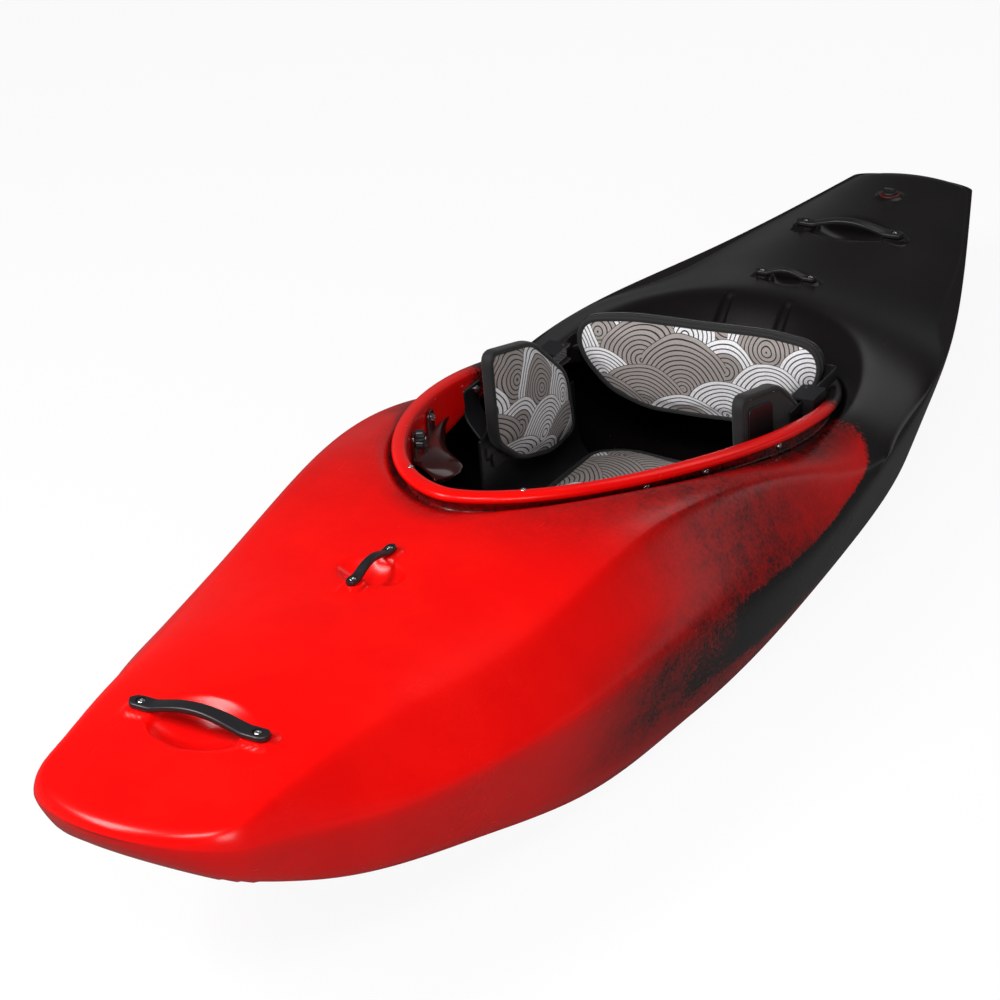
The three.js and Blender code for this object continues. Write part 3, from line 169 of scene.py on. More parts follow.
def close_up(mesh: bpy.types.Mesh, gap: float = 2e-6) -> None:
    """Merges doubled points, drops faces that vanish, and turns all the faces outwards.

    Args:
        mesh: the mesh.
        gap: how near two points are when they merge.
    """
    with editing(mesh) as work:
        bmesh.ops.remove_doubles(work, verts=work.verts, dist=gap)
        bmesh.ops.dissolve_degenerate(work, dist=gap, edges=work.edges)
        face_out(work)
    shade_smooth(mesh)
    mesh.update()


def joined(name: str, parts: Sequence[Piece]) -> Piece:
    """Joins several pieces into one that keeps their materials.

    Args:
        name: the piece's name.
        parts: the pieces, which are removed.

    Returns:
        The one piece.
    """
    mesh = bpy.data.meshes.new(name)
    with editing(mesh) as work:
        for part in parts:
            before, slot = len(work.faces), len(mesh.materials)
            work.from_mesh(part.data)
            work.faces.ensure_lookup_table()
            for face in work.faces[before:]:
                face.material_index += slot
            for material in part.data.materials:
                mesh.materials.append(material)
    shade_smooth(mesh)
    for part in parts:
        bpy.data.objects.remove(part, do_unlink=True)
    return linked(name, mesh)


def read(items: Sequence[object], key: str, kind: type = np.float32, width: int = 1) -> Array:
    """One property of every point, corner or face of a mesh, as a flat array.

    Args:
        items: the mesh's points, corners or faces.
        key: the property's name.
        kind: the type of its numbers.
        width: how many numbers each item has.

    Returns:
        The numbers.
    """
    values = np.empty(len(items) * width, dtype=kind)
    items.foreach_get(key, values)
    return values


def points_of(mesh: bpy.types.Mesh) -> Array:
    """The places of a mesh's points, three numbers each."""
    return read(mesh.vertices, "co", width=3).reshape(-1, 3).astype(float)


def set_points(mesh: bpy.types.Mesh, places: Array) -> None:
    """Puts new places into a mesh."""
    mesh.vertices.foreach_set("co", places.astype(np.float32).ravel())
    mesh.update()


def paint(mesh: bpy.types.Mesh, name: str, values: Array) -> None:
    """Stores one number for each point as a named attribute that a material can read."""
    layer = mesh.attributes.new(name, "FLOAT", "POINT")
    layer.data.foreach_set("value", values.astype(np.float32))


def soft_min(a: Array, b: Array, size: float) -> Array:
    """The smaller of two values, rounded where they cross: half of a + b - sqrt((a - b)^2 + size^2)."""
    return (a + b - np.sqrt((a - b) ** 2 + size ** 2)) / 2


def soft_max(a: Array, b: Array, size: float) -> Array:
    """The larger of two values, rounded where they cross."""
    return -soft_min(-a, -b, size)


def ease(x: Array) -> Array:
    """Smooth step from 0 to 1: 3x^2 - 2x^3 between 0 and 1, flat outside."""
    t = np.clip(x, 0, 1)
    return t * t * (3 - 2 * t)


def unit(vectors: Array) -> Array:
    """The vectors made one long."""
    return vectors / np.linalg.norm(vectors, axis=-1, keepdims=True)


def bulge(wave: Array, power: float) -> Array:
    """A wave made squarer by a power below 1: its sign times its size to the power."""
    return np.sign(wave) * np.abs(wave) ** power


def full_turn(steps: int) -> Array:
    """Angles at equal steps round a circle."""
    return np.arange(steps) * 2 * math.pi / steps


def parabola(t: Array, start: Array, corner: Array, end: Array) -> Array:
    """The parabola that leaves start and reaches end along lines that meet in the corner."""
    return (1 - t) ** 2 * start + 2 * t * (1 - t) * corner + t ** 2 * end


def stacked(*parts: Array | float) -> Array:
    """Places from their coordinates; one number may stand for many places."""
    return np.stack(np.broadcast_arrays(*parts), axis=-1)


def raised(plan: Array, height: Array | float) -> Array:
    """Places in plan with their heights; one height may stand for many places."""
    return np.concatenate([plan, np.broadcast_to(height, plan.shape[:-1])[..., None]], axis=-1)


@dataclass(frozen=True)
class Curve:
    """A natural cubic curve through values at stations."""

    stations: tuple[float, ...]
    values: tuple[float, ...]

    def __call__(self, at: Array) -> Array:
        """Value of the curve; each span is a cubic whose second derivative runs on smoothly.

        Args:
            at: where the curve is wanted, held within the first and last stations.

        Returns:
            The curve's values there.
        """
        place = np.asarray(self.stations)
        value = np.asarray(self.values)
        count = len(place)
        gap = np.diff(place)
        slope = np.diff(value) / gap
        system = np.eye(count)
        right = np.zeros(count)
        inner = np.arange(1, count - 1)
        system[inner, inner - 1] = gap[:-1]
        system[inner, inner] = 2 * (gap[:-1] + gap[1:])
        system[inner, inner + 1] = gap[1:]
        right[inner] = 6 * np.diff(slope)
        bend = np.linalg.solve(system, right)
        x = np.clip(at, place[0], place[-1])
        span = np.clip(np.searchsorted(place, x) - 1, 0, count - 2)
        a = (place[span + 1] - x) / gap[span]
        b = 1 - a
        cubic = (a ** 3 - a) * bend[span] + (b ** 3 - b) * bend[span + 1]
        return a * value[span] + b * value[span + 1] + cubic * gap[span] ** 2 / 6


def path_run(path: Array) -> Array:
    """The length along a path up to each of its points."""
    return np.concatenate([[0.0], np.cumsum(np.linalg.norm(np.diff(path, axis=0), axis=1))])


def on_path(path: Array, at: Array) -> Array:
    """The places that lie at given lengths along a path."""
    run = path_run(path)
    return np.stack([np.interp(at, run, places) for places in path.T], axis=-1)


def even_loop(path: Array, count: int) -> Array:
    """A closed path's points moved to equal steps of its length."""
    closed = np.concatenate([path, path[:1]])
    return on_path(closed, np.arange(count) / count * path_run(closed)[-1])


def rounded_loop(corners: Sequence[Sequence[float]], radius: float, count: int = 120) -> Array:
    """A closed flat outline whose corners are parabolas that start one radius from each corner.

    Args:
        corners: the corners, two numbers each.
        radius: where the parabolas start.
        count: how many points the loop gets, at equal steps.

    Returns:
        The loop, counter-clockwise.
    """
    corner = np.asarray(corners, dtype=float)
    ends = []
    for turn in (1, -1):
        arm = np.roll(corner, turn, axis=0) - corner
        length = np.linalg.norm(arm, axis=1, keepdims=True)
        ends.append(corner + arm / length * np.minimum(radius, length / 2))
    t = np.linspace(0, 1, 9)[None, :, None]
    bends = parabola(t, ends[0][:, None], corner[:, None], ends[1][:, None])
    loop = even_loop(bends.reshape(-1, 2), count)
    after = np.roll(loop, -1, axis=0)
    area = float(np.sum(loop[:, 0] * after[:, 1] - loop[:, 1] * after[:, 0]))
    return loop if area > 0 else loop[::-1].copy()


def loop_normals(loop: Array) -> Array:
    """Unit normals that point out of a counter-clockwise flat loop."""
    along = np.roll(loop, -1, axis=0) - np.roll(loop, 1, axis=0)
    return unit(stacked(along[:, 1], -along[:, 0]))


@dataclass(frozen=True)
class Plane:
    """A plane that flat shapes are drawn on, and a gentle bend of it."""

    origin: Triple = (0.0, 0.0, 0.0)
    across: Triple = PORT
    up: Triple = AFT
    facing: Triple = UP
    sag: float = 0.0
    half: float = 1.0

    def place(self, points: Array) -> Array:
        """Drawn points in the boat's frame; the middle is moved back by sag (1 - (u / half)^2).

        Args:
            points: drawn points, three numbers each.

        Returns:
            The points in the boat's frame.
        """
        bent = np.array(points, dtype=float)
        bent[..., 2] -= self.sag * (1 - (bent[..., 0] / self.half) ** 2)
        return np.asarray(self.origin) + bent @ np.array([self.across, self.up, self.facing])


LEVEL = Plane()


def upright(x: float, facing: float) -> Plane:
    """A fore-and-aft plane at x that faces port (1) or starboard (-1)."""
    return Plane((x, 0.0, 0.0), AFT, UP, (facing, 0.0, 0.0))


def fill_rings(work: bmesh.types.BMesh) -> list[bmesh.types.BMFace]:
    """Fills every open ring of a mesh and returns the new faces."""
    rings = [edge for edge in work.edges if edge.is_boundary]
    return bmesh.ops.holes_fill(work, edges=rings, sides=0)["faces"]


def cut_large(work: bmesh.types.BMesh, faces: Sequence[bmesh.types.BMFace]) -> None:
    """Cuts the faces of more than four corners into triangles."""
    bmesh.ops.triangulate(work, faces=[face for face in faces if len(face.verts) > 4])


def close_holes(piece: Piece) -> None:
    """Closes open rings with flat caps and turns all the faces outwards.

    Args:
        piece: the piece.
    """
    with editing(piece.data) as work:
        caps = fill_rings(work)
        for face in caps:
            face.smooth = False
        cut_large(work, caps)
        face_out(work)


def slab(name: str, loop: Array, low: float, high: float, edge: float, finish: "Finish",
         plane: Plane = LEVEL) -> Piece:
    """A plate on a flat outline with quarter-round edges: drawn in by e(1 - sin a), risen by e(1 - cos a).

    Args:
        name: the piece's name.
        loop: the outline.
        low: height of the lower face above the plane.
        high: height of the upper face above the plane.
        edge: radius of the edges.
        finish: the finish.
        plane: where the outline is drawn.

    Returns:
        The closed piece.
    """
    angle = np.linspace(0, math.pi / 2, 5)
    drawn, rise = edge * (1 - np.sin(angle)), edge * (1 - np.cos(angle))
    drawn = np.concatenate([drawn, drawn[::-1]])
    height = np.concatenate([low + rise, high - rise[::-1]])
    flat = loop[None] - loop_normals(loop)[None] * drawn[:, None, None]
    piece = mesh_piece(name, plane.place(raised(flat, height[:, None])), finish)
    close_holes(piece)
    return piece


# A turned piece's edge stays crisp from this angle
CRISP = math.radians(35)


def lathe(name: str, profile: Pairs, finish: "Finish", plane: Plane = LEVEL,
          sides: int = 48, teeth: tuple[int, float, float] = (0, 0.0, 0.0), hexed: float = 0.0) -> Piece:
    """A turned piece: radius and height pairs carried round the plane's facing direction.

    Args:
        name: the piece's name.
        profile: pairs of radius and height; a radius of 0 closes the piece.
        finish: the finish.
        plane: the axis and its foot.
        sides: how many steps go round.
        teeth: number of ribs, their depth, and the least radius that is ribbed.
        hexed: rings of exactly this radius become hexagons.

    Returns:
        The closed piece, with its hard corners kept crisp.
    """
    radius, height = np.array(profile, dtype=float).T
    angle = full_turn(sides)
    count, depth, least = teeth
    ribs = 1 + (radius[:, None] >= least) * depth * (np.cos(angle * count)[None] if count else 0.0)
    sector = (angle + math.pi / 6) % (math.pi / 3) - math.pi / 6
    six = np.where(np.isclose(radius, hexed)[:, None] & (hexed > 0), 1 / np.cos(sector)[None], 1.0)
    reach = radius[:, None] * ribs * six
    points = stacked(reach * np.cos(angle), reach * np.sin(angle), height[:, None])
    piece = mesh_piece(name, plane.place(points), finish)
    with editing(piece.data) as work:
        for edge in work.edges:
            if len(edge.link_faces) == 2 and edge.calc_face_angle(0.0) > CRISP:
                edge.smooth = False
    return piece


def round_edges(piece: Piece, width: float, degrees: float) -> None:
    """Rounds the edges that turn by more than an angle, by a live bevel.

    Args:
        piece: the piece.
        width: how wide the rounded edge gets.
        degrees: the least angle that is rounded.
    """
    bevel = piece.modifiers.new("edges", "BEVEL")
    bevel.width, bevel.segments, bevel.limit_method = width, 2, "ANGLE"
    bevel.angle_limit = math.radians(degrees)


def soften(piece: Piece) -> None:
    """Smooths a pad by one live subdivision."""
    smooth = piece.modifiers.new("smooth", "SUBSURF")
    smooth.levels = smooth.render_levels = 1


def ring_tube(name: str, loop: Array, out: Array, height: Array | float, size: tuple[float, float],
              plane: Plane = LEVEL, power: float = 0.7) -> Piece:
    """A closed tube of binding along a flat loop: its section is an oval, or squarer by a power below 1.

    Args:
        name: the piece's name.
        loop: the tube's middle line.
        out: directions out of the loop, one for each point.
        height: height of the middle line, one for all or one for each point.
        size: half of the section's width and of its height.
        plane: where the loop is drawn.
        power: the power of the section's waves.

    Returns:
        The closed piece.
    """
    angle = full_turn(16)
    flat = loop[:, None] + out[:, None] * (bulge(np.cos(angle), power) * size[0])[None, :, None]
    tall = np.asarray(height)[..., None] + bulge(np.sin(angle), power) * size[1]
    return mesh_piece(name, plane.place(raised(flat, tall)), BINDING, True)


def ribbon(name: str, path: Array, wide: Triple, half_wide: float, half_thick: Array,
           finish: "Finish") -> Piece:
    """A strap along a path: a rounded flat section, with its own thickness at each point.

    Args:
        name: the piece's name.
        path: points along the strap's middle.
        wide: the direction of the strap's width.
        half_wide: half of its width.
        half_thick: half of its thickness at each point.
        finish: the finish.

    Returns:
        The closed piece.
    """
    width = np.broadcast_to(np.asarray(wide, dtype=float), path.shape)
    thick = np.cross(unit(np.gradient(path, axis=0)), width)
    angle = full_turn(20)
    across = bulge(np.cos(angle), 0.35) * half_wide
    rise = bulge(np.sin(angle), 0.6)
    points = (path[:, None] + width[:, None] * across[None, :, None]
              + thick[:, None] * (rise[None] * np.asarray(half_thick)[:, None])[..., None])
    piece = mesh_piece(name, points, finish)
    close_holes(piece)
    return piece


def pad_plan(loop: Array, roll: float, rows: int, steps: int) -> tuple[Array, Array, Array]:
    """A pad's rings in plan: from the middle of the front out, round the edge and back to the middle.

    Args:
        loop: the pad's outline.
        roll: radius of the rolled edge.
        rows: how many rings the front and the back have each.
        steps: how many stations the edge's half circle has, with both its ends.

    Returns:
        The rings, each front ring's share of the way out, and the angles of the edge's rings.
    """
    out = loop_normals(loop)
    inner = loop - out * roll
    centre = inner.mean(axis=0)
    share = np.linspace(0, 1, rows)
    flat = centre + (inner - centre)[None] * share[:, None, None]
    angle = np.linspace(0, math.pi, steps)[1:-1]
    edge = inner[None] + out[None] * (roll * np.sin(angle))[:, None, None]
    return np.concatenate([flat, edge, flat[::-1]]), share, angle


@dataclass(frozen=True)
class Cushion:
    """A pad on a flat outline: flat back, rolled edge, crowned front, bound edge and pressed creases."""

    name: str
    loop: Array
    plane: Plane
    thickness: float
    crown: float
    roll: float
    creases: tuple[float, ...] = ()
    puffed: float = 0.006
    binding: float = 0.0048

    def form(self, rows: int = 22) -> Array:
        """The pad's rings; the front rises above its edge by crown times 1 - s^2.6, with s the share out.

        Args:
            rows: how many rings the front and the back have each.

        Returns:
            Rows of drawn points.
        """
        plan, share, angle = pad_plan(self.loop, self.roll, rows, 11)
        top = self.thickness + self.crown * (1 - share ** 2.6)
        side = self.thickness / 2 * (1 + np.cos(angle))
        return raised(plan, np.concatenate([top, side, np.zeros(rows)])[:, None])

    def build(self, finish: "Finish", body: str, node: str) -> None:
        """Makes the pad and its binding.

        Args:
            finish: the finish of the pad's front.
            body: the body that both ride on.
            node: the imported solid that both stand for.
        """
        pad = mesh_piece(self.name, self.form(), finish)
        puff(pad, self.loop, self.puffed)
        places = points_of(pad.data)
        front = places[:, 2] > self.thickness * 0.6
        for line in self.creases:
            away = places[:, 0] - line
            dent = np.exp(-(away / 0.0035) ** 2) - 0.35 * np.exp(-(away / 0.011) ** 2)
            places[front, 2] -= 0.0024 * dent[front]
        set_points(pad.data, self.plane.place(places))
        back_it(pad, places[:, 2] < 0.003)
        soften(pad)
        middle = self.loop - loop_normals(self.loop) * (self.binding * 0.62)
        half = self.thickness / 2
        tube = ring_tube(f"{self.name}_binding", middle, loop_normals(middle), half,
                         (self.binding, half + 0.0014), self.plane)
        settle_in(pad, finish, body, node, fill=0.7)
        settle_in(tube, BINDING, body, fill=0.8)


def back_it(piece: Piece, behind: Array) -> None:
    """Gives the faces whose points all lie on a pad's back the plain black cloth.

    Args:
        piece: the piece.
        behind: which points lie on the back.
    """
    mesh = piece.data
    mesh.materials.append(BINDING.material())
    hidden = behind[read(mesh.loops, "vertex_index", np.int32)].astype(np.int32)
    starts = read(mesh.polygons, "loop_start", np.int32)
    mesh.polygons.foreach_set("material_index", np.minimum.reduceat(hidden, starts))


def evaluated(piece: Piece) -> Piece:
    """The piece as its modifiers show it now."""
    return piece.evaluated_get(bpy.context.evaluated_depsgraph_get())


def puff(piece: Piece, loop: Array, cap: float) -> None:
    """Blows a pad up like a stuffed cover: an even mesh, cloth under pressure, moves held to a cap.

    Args:
        piece: the pad, still flat on its drawing plane.
        loop: its outline, near which it is held.
        cap: the furthest that a point may move.
    """
    scene = bpy.context.scene
    even = piece.modifiers.new("even", "REMESH")
    even.mode, even.voxel_size = "VOXEL", 0.005
    mesh = bpy.data.meshes.new_from_object(evaluated(piece))
    piece.modifiers.clear()
    piece.data = mesh
    start = points_of(mesh)
    cloth = piece.modifiers.new("air", "CLOTH")
    cloth.settings.use_pressure = True
    cloth.settings.uniform_pressure_force = 4.0
    cloth.settings.effector_weights.gravity = 0.0
    cloth.settings.quality = 4
    for step in range(1, 21):
        scene.frame_set(step)
    moved = points_of(evaluated(piece).data)
    piece.modifiers.remove(cloth)
    scene.frame_set(1)
    shift = moved - start
    size = np.linalg.norm(shift, axis=1, keepdims=True)
    shift *= np.minimum(1.0, cap / np.maximum(size, 1e-9))
    near = np.full(len(start), 1.0)
    for block in np.array_split(np.arange(len(start)), 40):
        near[block] = np.linalg.norm(start[block, None, :2] - loop[None], axis=-1).min(axis=1)
    share = ease((near - 0.003) / 0.020) * ease((start[:, 2] - 0.002) / 0.004)
    set_points(mesh, start + shift * share[:, None])
    shade_smooth(mesh)


def settle_in(piece: Piece, finish: "Finish", body: str, *nodes: str, fill: float = 0.0) -> None:
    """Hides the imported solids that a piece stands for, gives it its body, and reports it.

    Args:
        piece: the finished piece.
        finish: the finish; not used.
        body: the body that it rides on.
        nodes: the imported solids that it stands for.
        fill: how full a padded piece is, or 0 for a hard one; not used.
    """
    if nodes:
        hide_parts(*nodes)
    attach(piece, body)
    LOG.info("%s: %d faces", piece.name, len(piece.data.polygons))


@dataclass(frozen=True)
class Hollow:
    """A bowl in the deck under a bar: centre, half sizes, depth."""

    y: float
    half_x: float
    half_y: float
    depth: float


@dataclass(frozen=True)
class Bar:
    """A grab bar: its name, centre, screw spacing, whether it runs fore and aft, and its sizes."""

    name: str
    y: float
    spacing: float
    along: bool
    end: float
    width: float
    end_thickness: float
    thickness: float
    rise: float
    hollow: Hollow

    def screws(self) -> Array:
        """The two screw places in plan."""
        half = np.array([-1.0, 1.0]) * self.spacing / 2
        return stacked(0.0, self.y + half) if self.along else stacked(half, self.y)

    @property
    def big(self) -> bool:
        """Whether it is a grab handle, and not a security bar."""
        return self.spacing > 0.1


def big_bar(name: str, y: float) -> Bar:
    """A grab handle at the bow or the stern."""
    return Bar(name, y, 0.160, False, 0.030, 0.022, 0.008, 0.009, 0.015,
               Hollow(y, 0.068, 0.046, 0.026))


def small_bar(name: str, y: float, along: bool) -> Bar:
    """A security bar before or behind the cockpit.

    Args:
        name: the bar's name.
        y: its centre.
        along: whether it runs fore and aft.

    Returns:
        The bar.
    """
    across, fore = (0.048, 0.030) if along else (0.040, 0.030)
    return Bar(name, y, 0.084, along, 0.020, 0.014, 0.0065, 0.007, 0.010,
               Hollow(y, across, fore, 0.018))


BARS = (
    big_bar("bow_handle", -0.978),
    small_bar("front_security_bar", -0.6165, True),
    small_bar("rear_security_bar", 0.6025, False),
    big_bar("stern_handle", 0.8595),
)


@dataclass(frozen=True)
class HullForm:
    """The moulding's shape: height of the deck and the bottom above any place in plan."""

    length: float = 2.328
    half_beam: float = 0.337
    depth: float = 0.327
    wall: float = 0.006
    gunwale_round: float = 0.010
    side_round: float = 0.008
    shoulder_round: float = 0.012
    chine_round: float = 0.020
    flat_half_width: float = 0.150
    vee_drop: float = 0.006
    tail_corner: float = 0.026
    rim_centre: float = 0.053
    rim_half_width: float = 0.2686
    rim_front: float = 0.502
    rim_rear: float = 0.385
    rim_front_power: float = 1.7133
    rim_rear_power: float = 2.4
    coaming_height: float = 0.034
    overhang: float = 0.018
    gutter_round: float = 0.011
    apron_round: float = 0.020
    drain_y: float = 1.034
    drain_boss: float = 0.0195
    breadth: Curve = Curve(
        (0, 0.014, 0.045, 0.09, 0.15, 0.25, 0.35, 0.44, 0.57, 0.69, 0.82, 0.92, 0.975, 1),
        tuple(share ** 2 for share in (
            0, 0.346, 0.468, 0.595, 0.754, 0.886, 0.96, 1.002, 0.998, 0.934, 0.711, 0.487, 0.36, 0.3)))
    sheer_curve: Curve = Curve(
        (0, 0.045, 0.1, 0.15, 0.227, 0.333, 0.495, 0.666, 0.838, 1),
        (0.865, 0.785, 0.696, 0.668, 0.615, 0.556, 0.445, 0.52, 0.524, 0.604))
    keel_curve: Curve = Curve(
        (0, 0.085, 0.17, 0.256, 0.34, 0.43, 0.6, 0.74, 0.84, 0.92, 1),
        (0.79, 0.406, 0.229, 0.062, 0.014, -0.006, -0.006, 0.037, 0.138, 0.26, 0.382))
    deck_curve: Curve = Curve(
        (0, 0.04, 0.128, 0.235, 0.342, 0.47, 0.6, 0.71, 0.753, 0.863, 0.9376, 1),
        (0.911, 0.944, 0.998, 0.991, 1.045, 0.925, 0.801, 0.746, 0.703, 0.657, 0.638, 0.637))
    crown_curve: Curve = Curve(
        (0, 0.04, 0.128, 0.235, 0.342, 0.47, 0.6, 0.71, 0.79, 0.863, 1),
        (0.149, 0.149, 0.243, 0.194, 0.149, 0.174, 0.32, 0.243, 0.313, 0.347, 0.347))
    deck_slope: Curve = Curve(
        (0, 0.02, 0.119, 0.227, 0.335, 0.4645, 0.6, 0.72, 0.79, 0.86, 1),
        (1.72, 1.94, 1.17, 1.09, 1.56, 2.1, 1.61, 0.75, 0.45, 0.5, 0.85))
    hull_slope: Curve = Curve(
        (0, 0.17, 0.34, 0.5, 0.67, 0.84, 1), (1.83, 2.09, 2.93, 2.37, 2.65, 1.8, 1.48))
    rim_curve: Curve = Curve((0, 0.284, 0.566, 0.735, 0.848, 1), (1.064, 0.945, 0.803, 0.705, 0.639, 0.6))

    def station(self, y: Array) -> Array:
        """Share of the length from the bow."""
        return y / self.length + 0.5

    def breadth_squared(self, y: Array) -> Array:
        """Square of the half breadth; over the tail's corner it falls as a quarter ellipse does.

        Args:
            y: places along the boat.

        Returns:
            The squares.
        """
        full = np.maximum(self.breadth(self.station(y)), 0) * self.half_beam ** 2
        into = np.maximum(y - (self.length / 2 - self.tail_corner), 0) / self.tail_corner
        return full * np.maximum(1 - into ** 2, 0)

    def sheer(self, y: Array) -> Array:
        """Height of the widest line."""
        return self.sheer_curve(self.station(y)) * self.depth

    def breadth_slope(self, y: Array) -> Array:
        """How fast the square of the half breadth changes along the boat."""
        step = self.wall / 50
        return (self.breadth_squared(y + step) - self.breadth_squared(y - step)) / (2 * step)

    def inset(self, x: Array, y: Array) -> Array:
        """First-order distance in from the outline: (b - x^2) / |gradient of b - x^2|.

        Args:
            x: places across the boat.
            y: places along the boat.

        Returns:
            The distances.
        """
        step = self.wall / 50
        room = np.maximum(self.breadth_squared(y) - x * x, 0)
        return room / np.sqrt(self.breadth_slope(y) ** 2 + 4 * x * x + step * step)

    def rim_reach(self, along: Array) -> Array:
        """The rim's reach before or behind its centre."""
        return np.where(along < 0, self.rim_front, self.rim_rear)

    def rim_power(self, along: Array) -> Array:
        """The power of the rim's rounded outline."""
        return np.where(along < 0, self.rim_front_power, self.rim_rear_power)

    def rim_height(self, y: Array) -> Array:
        """Top of the coaming's lip."""
        share = (y - self.rim_centre + self.rim_front) / (self.rim_front + self.rim_rear)
        return self.rim_curve(share) * self.depth

    def rim_at(self, sine: Array) -> Array:
        """The rim's outer edge to port where a column's angle has this sine: a rounded power curve.

        Args:
            sine: the sines.

        Returns:
            Places in plan.
        """
        power = self.rim_power(sine)
        across = self.rim_half_width * np.maximum(1 - np.abs(sine) ** power, 0) ** (1 / power)
        return stacked(across, self.rim_centre + self.rim_reach(sine) * sine)

    def rim_gap(self, x: Array, y: Array) -> Array:
        """Distance out from the rim's outer edge, along the line from the cockpit's centre.

        Args:
            x: places across the boat.
            y: places along the boat.

        Returns:
            The distances, below 0 inside the rim.
        """
        along = y - self.rim_centre
        power = self.rim_power(along)
        across = (np.abs(x) / self.rim_half_width) ** power
        size = (across + (np.abs(along) / self.rim_reach(along)) ** power) ** (1 / power)
        return np.hypot(x, along) * (1 - 1 / np.maximum(size, 1e-9))

    def plain_deck(self, x: Array, y: Array) -> Array:
        """The deck without its hollows: side, crown and coaming apron, blended by soft minima.

        The apron starts as a quarter circle at the neck, so the gutter under the lip is round.

        Args:
            x: places across the boat.
            y: places along the boat.

        Returns:
            The deck's heights.
        """
        station = self.station(y)
        inset = self.inset(x, y)
        run = np.sqrt(inset * (inset + 2 * self.gunwale_round))
        side = self.sheer(y) + self.deck_slope(station) * run
        fall = self.crown_curve(station) * (x / self.half_beam) ** 2
        crowned = (self.deck_curve(station) - fall) * self.depth
        out = np.maximum(self.rim_gap(x, y) + self.overhang, 0)
        into = np.clip(self.gutter_round - out, 0, self.gutter_round)
        circle = self.gutter_round - np.sqrt(np.maximum(self.gutter_round ** 2 - into ** 2, 0))
        apron = self.rim_height(y) - self.coaming_height + soft_max(circle, out, 0.006)
        deck = soft_min(soft_min(side, crowned, self.shoulder_round), apron, self.apron_round)
        return np.maximum(deck, self.sheer(y))

    def hollow_depth(self, hollow: Hollow, x: Array, y: Array) -> Array:
        """Depth of a bowl: depth times (1 - r^2), with r the elliptical distance from its centre."""
        r = (x / hollow.half_x) ** 2 + ((y - hollow.y) / hollow.half_y) ** 2
        return hollow.depth * (soft_max(1 - r, np.zeros_like(r), 0.16) - 0.02 * np.exp(-r))

    def groove_depth(self, x: Array, y: Array) -> Array:
        """Depth of the two grooves that run down the scoop behind the cockpit.

        Args:
            x: places across the boat.
            y: places along the boat.

        Returns:
            The depths.
        """
        across = np.abs(np.abs(x) - 0.050) / 0.0105
        along = ease((0.511 - y) / 0.016) * ease((y - 0.395) / 0.02)
        return 0.0075 * along * ease(1.35 * (1 - across) + 0.05)

    def pads_shift(self, deck: Array, x: Array, y: Array) -> Array:
        """Lifts the deck to a level pad under each end of each bar, with a short round edge.

        Args:
            deck: the deck's heights so far.
            x: places across the boat.
            y: places along the boat.

        Returns:
            The heights with the pads.
        """
        for bar in BARS:
            half_long, half_wide, corner = (0.0185, 0.0155, 0.011) if bar.big else (0.0135, 0.0115, 0.009)
            for place_x, place_y in bar.screws():
                u, v = np.abs(x - place_x), np.abs(y - place_y)
                if bar.along:
                    u, v = v, u
                qu = np.maximum(u - half_long + corner, 0)
                qv = np.maximum(v - half_wide + corner, 0)
                outside = np.hypot(qu, qv) - corner
                deck = deck + (self.bar_seat(bar) - deck) * ease(1 - outside / 0.0055)
        around = np.hypot(x, y - self.drain_y) - self.drain_boss
        level = float(self.plain_deck(np.array([0.0]), np.array([self.drain_y]))[0]) + 0.0025
        return deck + (level - deck) * ease(1 - around / 0.006)

    def bar_seat(self, bar: Bar) -> float:
        """Height of a bar's level pads: clear of the deck at its screws and its flats' ends.

        Args:
            bar: the bar.

        Returns:
            The height.
        """
        places = bar.screws()
        middle = np.array([0.0, bar.y])
        inner = middle + (places - middle) * (1 - bar.end / bar.spacing)
        feet = self.plain_deck(places[:, 0], places[:, 1]) + 0.0025
        under = self.plain_deck(inner[:, 0], inner[:, 1]) + 0.00125
        return float(max(feet.max(), under.max()))

    def deck(self, x: Array, y: Array) -> Array:
        """The whole deck, with its bowls, grooves and pads.

        Args:
            x: places across the boat.
            y: places along the boat.

        Returns:
            The deck's heights.
        """
        height = self.plain_deck(x, y) - self.groove_depth(x, y)
        for bar in BARS:
            height = height - self.hollow_depth(bar.hollow, x, y)
        return self.pads_shift(height, x, y)

    def bottom(self, x: Array, y: Array) -> Array:
        """The bottom: a flat or slightly vee'd floor and a steep side, joined by a soft chine.

        Args:
            x: places across the boat.
            y: places along the boat.

        Returns:
            The bottom's heights.
        """
        station = self.station(y)
        inset = self.inset(x, y)
        run = np.sqrt(inset * (inset + 2 * self.side_round))
        side = self.sheer(y) - self.hull_slope(station) * run
        beyond = np.maximum(np.abs(x) - self.flat_half_width, 0) / (self.half_beam - self.flat_half_width)
        floor = np.maximum(self.keel_curve(station) * self.depth, 0) + self.vee_drop * beyond ** 2
        blend = soft_max(side, floor, self.chine_round)
        return np.minimum(np.where(side < floor - self.chine_round * 2, floor, blend), self.sheer(y))

    def surface(self, height: Callable[[Array, Array], Array], plan: Array, up: float,
                depth: float = 0.0) -> Array:
        """Places on a surface above plan, moved inwards along its normal by a depth.

        Args:
            height: the surface's height above plan.
            plan: places in plan, two numbers each.
            up: 1 for the deck and -1 for the bottom.
            depth: how far inside the places lie.

        Returns:
            The places.
        """
        x, y = plan[..., 0], plan[..., 1]
        places = raised(plan, height(x, y))
        if not depth:
            return places
        step = self.wall / 12
        slope_x = (height(x + step, y) - height(x - step, y)) / (2 * step)
        slope_y = (height(x, y + step) - height(x, y - step)) / (2 * step)
        return places - depth * unit(stacked(-slope_x * up, -slope_y * up, up))


FORM = HullForm()


